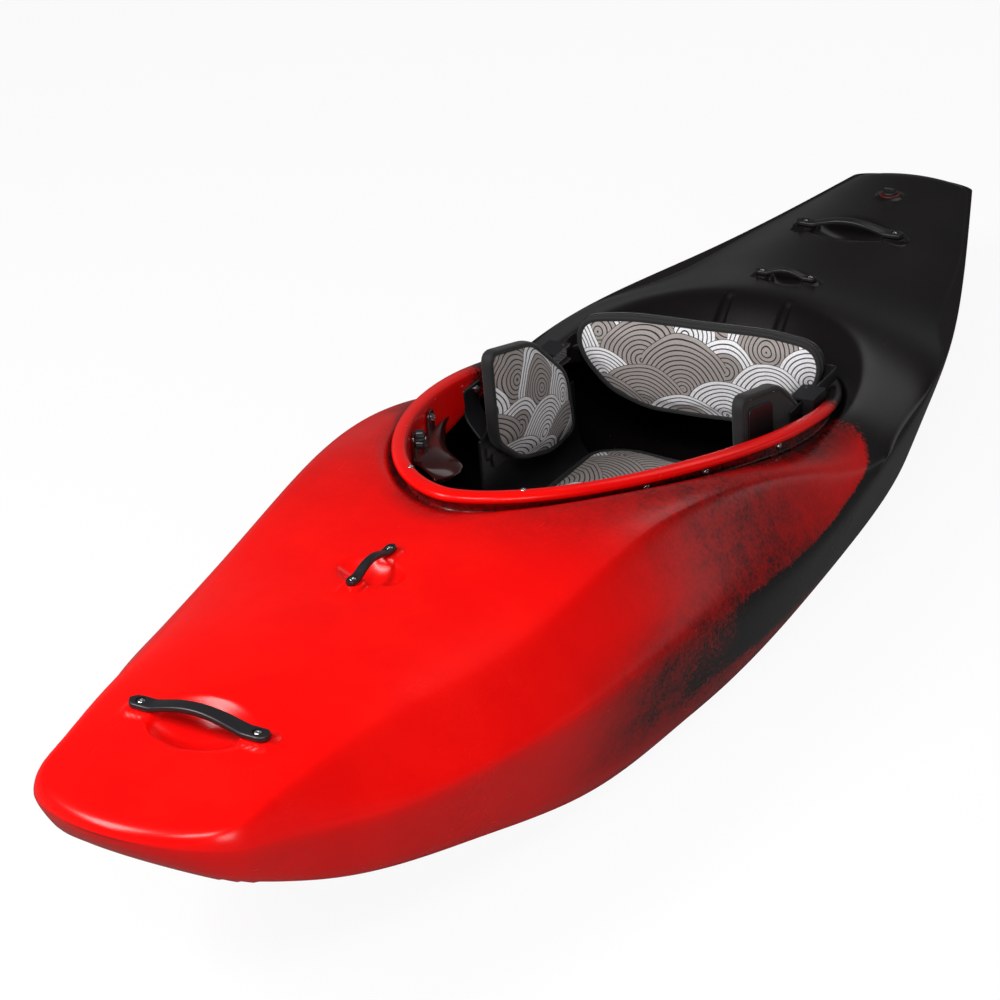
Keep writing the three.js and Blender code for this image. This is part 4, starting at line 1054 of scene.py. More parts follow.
# Across the coaming's lip: distance in from the rim's outer edge, and drop below its top, in mm
LIP_SECTION = (
    (18.0, 17.5), (17.6, 15.4), (16.2, 13.9), (14.2, 13.2), (9.0, 12.9), (5.0, 12.6), (2.6, 11.6),
    (0.9, 9.8), (0.1, 7.4), (0.2, 5.0), (1.3, 2.9), (3.2, 1.4), (6.0, 0.5), (9.5, 0.1), (13.0, 0.0),
    (17.0, 0.3), (20.6, 1.2), (23.4, 2.9), (24.8, 5.4), (25.1, 9.0), (24.8, 16.0), (24.4, 24.0))


@dataclass(frozen=True)
class Moulding:
    """The one-piece hull and deck, as a closed skin of columns that run round the whole section."""

    quarter_columns: int = 100
    deck_rows: int = 74
    hull_rows: int = 22
    inner_deck_rows: int = 26
    inner_hull_rows: int = 9
    keel_run_share: float = 0.84
    near_hull: tuple[float, ...] = (0.0003, 0.001, 0.0022, 0.004, 0.0065, 0.010, 0.015, 0.021, 0.028, 0.036,
                                    0.045, 0.055, 0.066, 0.078)
    near_deck: tuple[float, ...] = (0.0003, 0.001, 0.0022, 0.004, 0.0065, 0.010, 0.0145, 0.020, 0.026)
    skirt_section: tuple[tuple[float, float], ...] = (
        (0.3, 0.0), (0.6, 8.0), (0.6, 16.0), (0.2, 26.0), (-0.8, 34.0), (-2.6, 40.0), (-5.4, 43.0),
        (-8.2, 42.0), (-9.4, 38.0), (-8.8, 28.0), (-7.4, 16.0), (-6.6, 6.0), (-6.0, 0.0))

    def column_points(self) -> tuple[Array, Array, Array]:
        """Where each column meets the outline, the rim and the keel, in plan.

        Columns stand at equal steps of an angle; its sine places them along the boat.

        Returns:
            Three arrays of places in plan, one place a column.
        """
        count = self.quarter_columns * 4
        angle = np.arange(count) * (2 * math.pi / count)
        sine = np.sin(angle)
        side = np.where(np.cos(angle) >= 0, 1.0, -1.0)
        tip = np.arange(count) % (2 * self.quarter_columns) == self.quarter_columns
        half = FORM.length / 2
        y = FORM.rim_centre + np.where(sine < 0, FORM.rim_centre + half, half - FORM.rim_centre) * sine
        x = np.where(tip, 0.0, side * np.sqrt(FORM.breadth_squared(y)))
        rim = FORM.rim_at(sine)
        rim[:, 0] = np.where(tip, 0.0, side * rim[:, 0])
        keel = stacked(0.0, y * self.keel_run_share)
        return stacked(x, y), rim, keel

    @staticmethod
    def inside_rim(rim: Array, distance: float | Array) -> Array:
        """Places in from the rim's outer edge, toward the cockpit's centre."""
        return rim - unit(rim - np.array([0.0, FORM.rim_centre])) * distance

    @staticmethod
    def plan_run(edge: Array, goal: Array, near: Sequence[float], rows: int, power: float) -> Array:
        """Rows of places from the edge toward a goal.

        Args:
            edge: where each column starts.
            goal: where each column ends.
            near: distances of the first rows from the edge.
            rows: how many rows share the rest of the way.
            power: above 1 sets the rows closer at the goal.

        Returns:
            An array of rows, columns and two numbers.
        """
        run = goal - edge
        length = np.linalg.norm(run, axis=-1)
        first = np.asarray(near)[:, None] / length[None, :]
        share = 1 - (1 - np.arange(1, rows + 1) / rows) ** power
        rest = first[-1][None, :] + (1 - first[-1])[None, :] * share[:, None]
        part = np.concatenate([first, rest])
        return edge[None] + run[None] * part[..., None]

    def skin(self) -> Array:
        """All the rows of the skin: bottom, gunwale, deck, lip, and back along the inside.

        Returns:
            Rows of points, one point a column.
        """
        edge, rim, keel = self.column_points()
        foot = self.inside_rim(rim, FORM.overhang)
        hull_plan = self.plan_run(edge, keel, self.near_hull, self.hull_rows, 1.0)
        deck_plan = self.plan_run(edge, foot, self.near_deck, self.deck_rows, 1.25)
        hull_outer = FORM.surface(FORM.bottom, hull_plan, -1.0)
        deck_outer = FORM.surface(FORM.deck, deck_plan, 1.0)
        inner_hull = self.plan_run(edge, keel, (0.012, 0.03, 0.05, 0.07), self.inner_hull_rows, 1.0)
        inner_deck = self.plan_run(edge, foot, (0.010, 0.020), self.inner_deck_rows, 1.1)[:-1]
        hull_inner = FORM.surface(FORM.bottom, inner_hull, -1.0, FORM.wall)
        deck_inner = FORM.surface(FORM.deck, inner_deck, 1.0, FORM.wall)
        hull_inner[-1, :, 0] = 0.0
        top = FORM.rim_height(rim[:, 1])
        sheer = FORM.sheer(edge[:, 1])
        lip = [raised(self.inside_rim(rim, inset * MM), top - drop * MM) for inset, drop in LIP_SECTION]
        out = stacked(2 * edge[:, 0], -FORM.breadth_slope(edge[:, 1]))
        ends = np.isclose(edge[:, 0], 0)
        out[ends] = stacked(0.0, np.sign(edge[ends, 1]))
        inner_edge = edge - unit(out) * FORM.wall
        return np.concatenate([
            hull_outer[::-1], raised(edge, sheer)[None], deck_outer, np.stack(lip),
            self.skirt(rim, deck_outer[-1, :, 2] - FORM.wall),
            deck_inner[::-1], raised(inner_edge, sheer)[None], hull_inner])

    def skirt(self, rim: Array, foot: Array) -> Array:
        """The cockpit's inner wall below the lip: deeper forward, rounded at its foot, and back up outside.

        Args:
            rim: the rim's places in plan.
            foot: height of the deck's inside at the neck.

        Returns:
            Rows of points, from the lip's inside to the deck's inside.
        """
        ahead = ease((FORM.rim_centre + 0.06 - rim[:, 1]) / 0.20)
        return np.stack([
            raised(self.inside_rim(rim, FORM.overhang + FORM.wall + inset * MM * ahead[:, None]),
                   foot - down * MM * ahead)
            for inset, down in self.skirt_section])

    def fine_places(self, places: Array) -> Array:
        """Whether each place in plan is near a bowl, a pad or a groove, where the mesh is finer.

        Args:
            places: points, three numbers each.

        Returns:
            True for the places that are near one.
        """
        x, y = np.abs(places[:, 0]), places[:, 1]
        near = (x < 0.075) & (y > 0.41) & (y < 0.525)
        for bar in BARS:
            reach_x = bar.spacing / 2 + 0.022 if not bar.along else bar.hollow.half_x + 0.008
            reach_y = bar.spacing / 2 + 0.018 if bar.along else bar.hollow.half_y + 0.008
            near |= (x < reach_x) & (np.abs(y - bar.y) < reach_y)
        return near | (np.hypot(x, y - FORM.drain_y) < 0.034)

    def build(self) -> None:
        """Makes the moulding, finer round the deck's details."""
        piece = mesh_piece("hull_moulding", self.skin(), SHELL)
        mesh = piece.data
        places = points_of(mesh)
        on_deck = self.on_deck(places)
        paint(mesh, "deck", on_deck)
        chosen = self.fine_places(places) & on_deck
        with editing(mesh) as work:
            edges = [edge for edge in work.edges if chosen[edge.verts[0].index] and chosen[edge.verts[1].index]]
            bmesh.ops.subdivide_edges(work, edges=edges, cuts=2, use_grid_fill=True)
            cut_large(work, work.faces)
        self.finish_skin(mesh)
        settle_in(piece, SHELL, "boat", "hull_shell")

    @staticmethod
    def on_deck(places: Array) -> Array:
        """Which places lie on the outer deck, by their height above plan.

        Args:
            places: points, three numbers each.

        Returns:
            True for the places on the deck.
        """
        x, y, z = places.T
        outside = FORM.rim_gap(x, y) > -FORM.overhang + 0.001
        return outside & (np.abs(z - FORM.deck(x, y)) < 2e-5)

    @staticmethod
    def finish_skin(mesh: bpy.types.Mesh) -> None:
        """Puts the added points onto the deck, and paints the skin's blackness, dusk and the painted shade of
        the gutter under the lip.

        Args:
            mesh: the moulding's mesh.
        """
        places = points_of(mesh)
        added = read(mesh.attributes["deck"].data, "value") > 0.999
        places[added, 2] = FORM.deck(places[added, 0], places[added, 1])
        set_points(mesh, places)
        mesh.attributes.remove(mesh.attributes["deck"])
        shade_smooth(mesh)
        inside = inside_skin(places)
        paint(mesh, "blackness", np.where(inside, 1.0, blackness(places)))
        paint(mesh, "dusk", np.where(inside, 1.0, dusk_share(places)))
        # painted shade: the gutter under the coaming's lip is darkened in the colour, partly painted shade and
        # partly darker pigment
        paint(mesh, "gutter", gutter_share(places))


# Where the red ends on the middle of the deck, and how much further aft for each metre to port
DECK_LINE = 0.118
DECK_SLANT = 0.29


def blackness(places: Array) -> Array:
    """Signed distance aft of the line where the red pigment gives way to black, in metres.

    The line slants across the deck, further aft to port; on the sides it lies further forward and is
    softer, and it falls back again along the chine.

    Args:
        places: points, three numbers each.

    Returns:
        The distances, below 0 in the red.
    """
    x, y, _ = places.T
    side, chine = side_shares(places)
    return (y - (DECK_LINE + DECK_SLANT * x) + 0.62 * side - 0.42 * chine) * (1 - 0.65 * side)


def side_shares(places: Array) -> tuple[Array, Array]:
    """How far each place is down the side, and how far down it is towards the chine, from 0 to 1.

    Args:
        places: points, three numbers each.

    Returns:
        The shares down the side and towards the chine.
    """
    y, z = places[:, 1], places[:, 2]
    above = 0.030 + 0.034 * ease(-y / 0.30)
    return ease((FORM.sheer(y) + above - z) / (above + 0.018)), ease((0.080 - z) / 0.060)


def dusk_share(places: Array) -> Array:
    """How much black grit is mixed into the red: most beside the cockpit to port, less at the line.

    Args:
        places: points, three numbers each.

    Returns:
        The share of grit, up to 1.
    """
    x, y, _ = places.T
    side, chine = side_shares(places)
    ahead = y - (DECK_LINE + DECK_SLANT * x)
    deck = 0.82 * ease((ahead + 0.74) / 0.32) - 0.62 * ease((ahead + 0.42) / 0.38)
    deck *= (0.3 + 0.7 * ease(x / 0.12)) * ease(FORM.rim_gap(x, y) / 0.012)
    wall = 0.92 * ease((y + 0.70) / 0.28)
    low = 0.62 * ease((y + 0.62) / 0.36)
    return (deck * (1 - side) + wall * side) * (1 - chine) + low * chine


def inside_skin(places: Array) -> Array:
    """Which places lie on the moulding's inside below the coaming's inner wall; these are coloured fully black.

    Args:
        places: points, three numbers each.

    Returns:
        True for the places inside.
    """
    x, y, z = places.T
    gap = FORM.rim_gap(x, y)
    below = FORM.rim_height(y) - z
    coaming = (gap < -FORM.overhang + 0.003) & (gap > -0.037) & (below < 0.092)
    return (z > FORM.bottom(x, y) + 0.002) & (z < FORM.deck(x, y) - 0.002) & ~coaming


def gutter_share(places: Array) -> Array:
    """How strongly the gutter under the coaming's lip is darkened at each place, from 0 to 1: partly painted
    shade and partly darker pigment.

    Args:
        places: points, three numbers each.

    Returns:
        The shares.
    """
    x, y, z = places.T
    gap = FORM.rim_gap(x, y)
    below = FORM.rim_height(y) - z
    return ease((0.070 - gap) / 0.078) * ease((below - 0.011) / 0.006) * ease((gap + 0.021) / 0.003)


def operator(operation: str) -> Callable[["Signal", object], "Signal"]:
    """The method behind one of a signal's operators: a Math node of that operation."""
    return lambda signal, other: signal.math(operation, other)


@dataclass(frozen=True)
class Signal:
    """A value that runs through a node tree; arithmetic with it adds Math nodes."""

    nodes: "Nodes"
    socket: Socket

    def math(self, operation: str, other: object = 0.0) -> "Signal":
        """Adds a Math node on this value and another."""
        return self.nodes.make("ShaderNodeMath", {0: self, 1: other}, operation=operation)

    def held(self) -> "Signal":
        """The same value, held between 0 and 1 by the node that makes it."""
        self.socket.node.use_clamp = True
        return self

    def larger(self, other: object) -> "Signal":
        """The larger of the two values."""
        return self.math("MAXIMUM", other)

    __add__ = operator("ADD")
    __sub__ = operator("SUBTRACT")
    __mul__ = operator("MULTIPLY")
    __truediv__ = operator("DIVIDE")
    __mod__ = operator("MODULO")
    __lt__ = operator("LESS_THAN")
    __gt__ = operator("GREATER_THAN")


Wires = dict[str, Signal]


@dataclass(frozen=True)
class Nodes:
    """A short way to add nodes to one tree."""

    tree: bpy.types.NodeTree

    def add(self, kind: str, **options: object) -> bpy.types.Node:
        """Adds a node and sets its options.

        Args:
            kind: the node's type.
            options: its own settings.

        Returns:
            The node.
        """
        node = self.tree.nodes.new(kind)
        for key, value in options.items():
            setattr(node, key, value)
        return node

    def feed(self, value: object, socket: Socket) -> None:
        """Links a signal to an input, or sets the input to a plain value.

        Args:
            value: a signal or a plain value.
            socket: the input.
        """
        if isinstance(value, Signal):
            self.tree.links.new(value.socket, socket)
        else:
            socket.default_value = value

    def make(self, kind: str, inputs: dict[str | int, object], output: str | int = 0,
             **options: object) -> Signal:
        """Adds a node with its inputs fed, and returns one of its outputs.

        Args:
            kind: the node's type.
            inputs: a signal or a plain value for each named or numbered input.
            output: the name or number of the output.
            options: the node's own settings.

        Returns:
            The output's signal.
        """
        node = self.add(kind, **options)
        for key, value in inputs.items():
            self.feed(value, node.inputs[key])
        return Signal(self, node.outputs[output])

    def outputs(self, node: bpy.types.Node) -> Wires:
        """A node's outputs by their names."""
        return {socket.name: Signal(self, socket) for socket in node.outputs}

    def split(self, value: Signal, kind: str = "ShaderNodeSeparateXYZ") -> list[Signal]:
        """Splits a vector or a colour into its three parts.

        Args:
            value: the vector or colour.
            kind: the type of the node that splits it.

        Returns:
            The three parts.
        """
        node = self.add(kind)
        self.feed(value, node.inputs[0])
        return [Signal(self, socket) for socket in node.outputs]

    def ramp(self, value: Signal, low: float, high: float, to_low: float = 0.0, to_high: float = 1.0) -> Signal:
        """Maps a value from one range to another by a smooth step, held at the ends.

        Args:
            value: the value.
            low: start of the first range.
            high: its end.
            to_low: start of the second range.
            to_high: its end.

        Returns:
            The mapped value.
        """
        return self.make("ShaderNodeMapRange", {"Value": value, "From Min": low, "From Max": high,
                                                "To Min": to_low, "To Max": to_high},
                         "Result", interpolation_type="SMOOTHSTEP")

    def mix(self, share: object, a: object, b: object, blend: str = "MIX") -> Signal:
        """Mixes two colours by a share."""
        return self.make("ShaderNodeMix", {0: share, 6: a, 7: b}, 2, data_type="RGBA", blend_type=blend)

    def noise(self, vector: Signal, scale: object, detail: float = 2.0, rough: float = 0.5,
              output: str = "Fac") -> Signal:
        """Adds a noise and returns its value or its colour."""
        return self.make("ShaderNodeTexNoise", {"Vector": vector, "Scale": scale, "Detail": detail,
                                                "Roughness": rough}, output)


VECTOR, FLOAT, COLOR = "NodeSocketVector", "NodeSocketFloat", "NodeSocketColor"


class ShaderGroup:
    """A shader node group with named inputs and outputs, built once."""

    name = "group"
    inputs: tuple[tuple[str, str, object], ...] = ()
    outputs: tuple[tuple[str, str], ...] = ()

    def tree(self) -> bpy.types.NodeTree:
        """Returns the group's tree, made at its first use.

        Returns:
            The group's tree.
        """
        known = bpy.data.node_groups.get(self.name)
        if known:
            return known
        tree = bpy.data.node_groups.new(self.name, "ShaderNodeTree")
        for label, kind, value in self.inputs:
            socket = tree.interface.new_socket(label, in_out="INPUT", socket_type=kind)
            if value is not None:
                socket.default_value = value
        for label, kind in self.outputs:
            tree.interface.new_socket(label, in_out="OUTPUT", socket_type=kind)
        nodes = Nodes(tree)
        made = self.wire(nodes, nodes.outputs(nodes.add("NodeGroupInput")))
        target = nodes.add("NodeGroupOutput")
        for label, signal in made.items():
            nodes.feed(signal, target.inputs[label])
        return tree

    def wire(self, nodes: Nodes, source: Wires) -> Wires:
        """Builds the group's inside.

        Args:
            nodes: the group's nodes.
            source: the group's inputs by name.

        Returns:
            The group's outputs by name.
        """
        raise NotImplementedError

    def place(self, nodes: Nodes, **values: object) -> Wires:
        """Puts the group into a material's tree, with the material's own values.

        Args:
            nodes: the material's nodes.
            values: plain values or signals for the named inputs, with _ for a space.

        Returns:
            The group's outputs by name.
        """
        node = nodes.add("ShaderNodeGroup", node_tree=self.tree())
        for key, value in values.items():
            nodes.feed(value, node.inputs[key.replace("_", " ")])
        return nodes.outputs(node)


class MouldedSkin(ShaderGroup):
    """The faint unevenness, scuffs and dust of moulded plastic."""

    name = "moulded_skin"
    inputs = (("Vector", VECTOR, None), ("Grain", FLOAT, 900.0), ("Base Roughness", FLOAT, 0.35),
              ("Scuff", FLOAT, 0.1))
    outputs = (("Roughness", FLOAT), ("Height", FLOAT), ("Wear", FLOAT))

    def wire(self, nodes: Nodes, source: Wires) -> Wires:
        """Roughness is the base plus broad patches and fine scratches; height is waviness and grain.

        Args:
            nodes: the nodes of the tree.
            source: the group's inputs by name.

        Returns:
            Roughness, height and wear.
        """
        vector = source["Vector"]
        broad = nodes.noise(vector, 7.0, 3.0)
        stretched = nodes.make("ShaderNodeMapping", {"Vector": vector, "Scale": (160.0, 9.0, 60.0)})
        wear = nodes.ramp(nodes.noise(stretched, 1.0, 4.0, 0.7), 0.60, 0.78) * source["Scuff"]
        rough = source["Base Roughness"] + (broad - 0.5) * 0.14
        height = nodes.noise(vector, source["Grain"]) * 0.06 + nodes.noise(vector, 26.0)
        return {"Roughness": (rough + wear).held(), "Height": height, "Wear": wear}


class PigmentBlend(ShaderGroup):
    """Red pigment that gives way to black through a speckled, cloudy band, with painted shade added in the
    gutter under the coaming's lip.
    """

    name = "pigment_blend"
    inputs = (("Vector", VECTOR, None), ("Aft", FLOAT, 0.0), ("Dusk", FLOAT, 0.0), ("Gutter", FLOAT, 0.0))
    outputs = (("Color", COLOR),)
    deep_red = (0.86, 0.0015, 0.001, 1.0)
    bright_red = (0.92, 0.003, 0.0015, 1.0)
    black = (0.0075, 0.0055, 0.006, 1.0)

    def wire(self, nodes: Nodes, source: Wires) -> Wires:
        """The largest of three shares of black: aft of the line, black grit in the red, and painted shade in
        the gutter under the lip.

        The line is moved by clouds and specks of both colours; the grit comes in patches and specks.

        Args:
            nodes: the nodes of the tree.
            source: the group's inputs by name.

        Returns:
            The colour.
        """
        vector, aft = source["Vector"], source["Aft"]
        clouds = nodes.noise(vector, 9.0, 4.0, 0.6)
        specks = nodes.noise(vector, 190.0, 3.0, 0.75)
        fine = nodes.noise(vector, 620.0, 2.0, 0.6)
        line = aft + (clouds - 0.5) * 0.16 + (specks - 0.5) * 0.16 + (fine - 0.5) * 0.06
        patches = nodes.ramp(nodes.noise(vector, 30.0, 6.0, 0.72), 0.36, 0.64, 0.82, 1.04)
        grit = patches + nodes.ramp(specks, 0.40, 0.64, -0.12, 0.12)
        haze = (source["Dusk"] * grit).held()
        # painted shade: darkens the gutter under the coaming's lip, a little less far forward
        shade = source["Gutter"] * nodes.ramp(aft, -0.70, -0.38, 0.78, 0.97)
        black = haze.larger(nodes.ramp(line, -0.035, 0.035)).larger((shade * grit).held())
        flecks = nodes.ramp(nodes.noise(vector, 70.0, 5.0, 0.8), 0.66, 0.80, 0.0, 0.10)
        red = nodes.mix(nodes.ramp(clouds, 0.35, 0.70), self.deep_red, self.bright_red)
        return {"Color": nodes.mix((black - flecks).held(), red, self.black)}


class WavePrint(ShaderGroup):
    """Rows of overlapping discs, each filled with concentric arcs, flat in the vector's X and Y.

    The old wave pattern: every disc is partly covered by the row in front of it.
    """

    name = "wave_print"
    inputs = (("Vector", VECTOR, None), ("Radius", FLOAT, 0.078), ("Pitch", FLOAT, 0.0070))
    outputs = (("Color", COLOR),)
    rows = 5
    step = 0.52
    taupe = (0.370, 0.330, 0.312, 1.0)
    pale = (0.86, 0.85, 0.87, 1.0)
    ink = (0.012, 0.010, 0.012, 1.0)

    def disc(self, nodes: Nodes, source: Wires, across: Signal, upward: Signal,
             row: Signal) -> tuple[Signal, Signal]:
        """One candidate row: whether its nearest disc covers the point, and the disc's colour there.

        Args:
            nodes: the group's nodes.
            source: the group's inputs.
            across: the point's place along the rows.
            upward: the point's place up the rows, in row steps.
            row: the whole number of the candidate row.

        Returns:
            The cover, 0 or 1, and the colour.
        """
        radius, pitch = source["Radius"], source["Pitch"]
        width = radius * 1.72
        odd = (row + 400.0) % 2.0 * 0.5
        column = (across / width - odd).math("ROUND")
        key = nodes.make("ShaderNodeCombineXYZ", {0: column, 1: row})
        dice = nodes.make("ShaderNodeTexWhiteNoise", {"Vector": key}, "Color", noise_dimensions="2D")
        spread, tint, foamy = nodes.split(dice, "ShaderNodeSeparateColor")
        size = radius * (spread * 0.50 + 0.62)
        reach_x = across - (column + odd) * width
        reach_y = (upward - row) * (radius * self.step)
        far = (reach_x.math("POWER", 2.0) + reach_y.math("POWER", 2.0)).math("SQRT")
        rim = size - far
        line = (rim / pitch + 0.14).math("FRACT") < 0.27
        crest = (rim < pitch * 2.9) * (foamy > 0.52)
        core = (far < size * 0.30) * (tint < 0.10)
        tone = nodes.mix((tint > 0.70).larger(crest), self.taupe, self.pale)
        return far < size, nodes.mix(line.larger(core), tone, self.ink)

    def wire(self, nodes: Nodes, source: Wires) -> Wires:
        """Goes from the row behind to the row in front; the last disc that covers the point wins.

        Args:
            nodes: the nodes of the tree.
            source: the group's inputs by name.

        Returns:
            The colour.
        """
        warp = nodes.noise(source["Vector"], 9.0, 1.0, output="Color")
        shifted = nodes.make("ShaderNodeVectorMath", {0: warp, 1: (0.024, 0.024, 0.0), 2: source["Vector"]},
                             operation="MULTIPLY_ADD")
        across, up, _ = nodes.split(shifted)
        upward = up / (source["Radius"] * self.step)
        foot = upward.math("FLOOR")
        color: object = self.taupe
        for lift in range(2, 2 - self.rows, -1):
            cover, drawn = self.disc(nodes, source, across, upward, foot + float(lift))
            color = nodes.mix(cover, color, drawn)
        return {"Color": color}


class WovenCloth(ShaderGroup):
    """The fine knit of a stretch cover: height and a slight change of tone."""

    name = "woven_cloth"
    inputs = (("Vector", VECTOR, None), ("Threads", FLOAT, 1500.0))
    outputs = (("Height", FLOAT), ("Tone", FLOAT))

    def wire(self, nodes: Nodes, source: Wires) -> Wires:
        """Height is the sum of two products of crossed waves, plus a little noise.

        Args:
            nodes: the nodes of the tree.
            source: the group's inputs by name.

        Returns:
            Height and tone.
        """
        x, y, z = ((part * source["Threads"]).math("SINE") for part in nodes.split(source["Vector"]))
        rough = nodes.noise(source["Vector"], 420.0, 3.0)
        return {"Height": (x * y + y * z) * 0.25 + rough, "Tone": nodes.ramp(rough, 0.3, 0.7, 0.88, 1.06)}


@dataclass(frozen=True)
class Finish:
    """One finish: its name, the record's slot it belongs to, and how it looks."""

    name: str
    slot: str
    color: Triple = (0.5, 0.5, 0.5)
    roughness: float = 0.5
    metallic: float = 0.0
    bump: float = 0.1
    grain: float = 900.0
    scuff: float = 0.1
    coat: float = 0.0
    sheen: float = 0.0
    specular: float = 0.5

    def material(self) -> Material:
        """Returns the finish's material, made at its first use.

        Returns:
            The material.
        """
        known = bpy.data.materials.get(self.name)
        if known:
            return known
        material = bpy.data.materials.new(self.name)
        material.use_nodes = True
        material.diffuse_color = (*self.color, 1.0)
        nodes = Nodes(material.node_tree)
        looks: dict[str, object] = {
            "Metallic": self.metallic, "Roughness": self.roughness, "Coat Weight": self.coat,
            "Coat Roughness": 0.08, "Sheen Weight": self.sheen, "Specular IOR Level": self.specular}
        looks |= self.wire(nodes, nodes.make("ShaderNodeTexCoord", {}, "Object"))
        shader = material.node_tree.nodes["Principled BSDF"]
        for label, value in looks.items():
            nodes.feed(value, shader.inputs[label])
        return material

    def wire(self, nodes: Nodes, place: Signal) -> Wires:
        """Moulded plastic or metal: an even colour with grain, patches and worn specks.

        Args:
            nodes: the nodes of the tree.
            place: the piece's own coordinates.

        Returns:
            Signals for the shader's named inputs.
        """
        skin = self.skin(nodes, place)
        lighter = tuple(min(1.0, part * 1.5 + 0.012) for part in self.color)
        return {"Base Color": nodes.mix(skin["Wear"], (*self.color, 1.0), (*lighter, 1.0)),
                "Roughness": skin["Roughness"], "Normal": self.bumped(nodes, skin["Height"], 0.0006)}

    def skin(self, nodes: Nodes, place: Signal) -> Wires:
        """The moulded skin with this finish's own grain, roughness and scuffs."""
        return MouldedSkin().place(nodes, Vector=place, Grain=self.grain, Base_Roughness=self.roughness,
                                   Scuff=self.scuff)

    def bumped(self, nodes: Nodes, height: Signal, reach: float) -> Signal:
        """The normal of a surface that is raised by a height."""
        return nodes.make("ShaderNodeBump", {"Strength": self.bump, "Distance": reach, "Height": height})


@dataclass(frozen=True)
class ShellFinish(Finish):
    """The moulding's polyethylene, red forward and black aft, with painted shade under the coaming's lip."""

    def wire(self, nodes: Nodes, place: Signal) -> Wires:
        """The colour follows the three painted shares, the third of which is painted shade under the lip; the
        roughness is the moulded skin's.

        Args:
            nodes: the nodes of the tree.
            place: the piece's own coordinates.

        Returns:
            Signals for the shader's named inputs.
        """
        # the gutter attribute carries painted shade under the coaming's lip
        aft, dusk, gutter = (nodes.make("ShaderNodeAttribute", {}, "Fac", attribute_name=name)
                             for name in ("blackness", "dusk", "gutter"))
        blend = PigmentBlend().place(nodes, Vector=place, Aft=aft, Dusk=dusk, Gutter=gutter)
        skin = self.skin(nodes, place)
        return {"Base Color": blend["Color"], "Roughness": skin["Roughness"],
                "Normal": self.bumped(nodes, skin["Height"], 0.0012)}


@dataclass(frozen=True)
class PrintFinish(Finish):
    """The pads' printed cover, laid flat along two of the boat's axes."""

    axes: tuple[int, int] = (0, 1)
    shift: Triple = (0.0, 0.0, 0.0)

    def wire(self, nodes: Nodes, place: Signal) -> Wires:
        """The print's colour, toned by the knit, with the knit as bump.

        Args:
            nodes: the nodes of the tree.
            place: the piece's own coordinates.

        Returns:
            Signals for the shader's named inputs.
        """
        parts = nodes.split(place)
        drawn = nodes.make("ShaderNodeCombineXYZ", {index: parts[axis] for index, axis in enumerate(self.axes)})
        flat = nodes.make("ShaderNodeMapping", {"Vector": drawn, "Location": self.shift})
        waves = WavePrint().place(nodes, Vector=flat)
        cloth = WovenCloth().place(nodes, Vector=place)
        return {"Base Color": nodes.mix(1.0, waves["Color"], cloth["Tone"], "MULTIPLY"),
                "Normal": self.bumped(nodes, cloth["Height"], 0.0004)}


@dataclass(frozen=True)
class ClothFinish(Finish):
    """Plain cloth, foam or webbing."""

    def wire(self, nodes: Nodes, place: Signal) -> Wires:
        """One colour, toned by the weave, with the weave as bump.

        Args:
            nodes: the nodes of the tree.
            place: the piece's own coordinates.

        Returns:
            Signals for the shader's named inputs.
        """
        cloth = WovenCloth().place(nodes, Vector=place, Threads=self.grain)
        return {"Base Color": nodes.mix(1.0, (*self.color, 1.0), cloth["Tone"], "MULTIPLY"),
                "Normal": self.bumped(nodes, cloth["Height"], 0.0006)}


SHELL = ShellFinish("rotomoulded_shell", "shell", roughness=0.25, bump=0.05, grain=700.0, scuff=0.03,
                    specular=0.32)
SATIN = Finish("satin_black_nylon", "satin_black", (0.013, 0.012, 0.014), 0.36, bump=0.12)
GLOSS = Finish("gloss_black_plastic", "gloss_black", (0.012, 0.008, 0.008), 0.14, bump=0.04, coat=0.3)
# painted reflection: the gloss black brace is coloured dark red to stand for the red coaming wall reflected in
# it
BRACE = Finish("smoked_red_plastic", "gloss_black", (0.050, 0.004, 0.004), 0.16, bump=0.05, coat=0.2)
MAROON = Finish("maroon_nylon", "satin_black", (0.085, 0.006, 0.006), 0.40, bump=0.12)
STEEL = Finish("stainless_steel", "steel", (0.62, 0.62, 0.63), 0.24, 1.0, bump=0.05, grain=2400.0)
FOAM = ClothFinish("closed_cell_foam", "foam", (0.022, 0.022, 0.024), 0.95, bump=0.5, grain=900.0)
BINDING = ClothFinish("black_binding", "pad_fabric", (0.010, 0.010, 0.011), 0.75, bump=0.5, grain=2200.0,
                      sheen=0.1)
PRINTED = {"slot": "pad_fabric", "roughness": 0.85, "bump": 0.25, "sheen": 0.15}
SEAT_PRINT = PrintFinish("seat_print", shift=(0.02, -0.031, 0.0), **PRINTED)
BAND_PRINT = PrintFinish("backband_print", axes=(0, 2), shift=(0.013, -0.018, 0.0), **PRINTED)
HIP_PRINT = PrintFinish("hip_print", axes=(1, 2), shift=(0.006, 0.012, 0.0), **PRINTED)


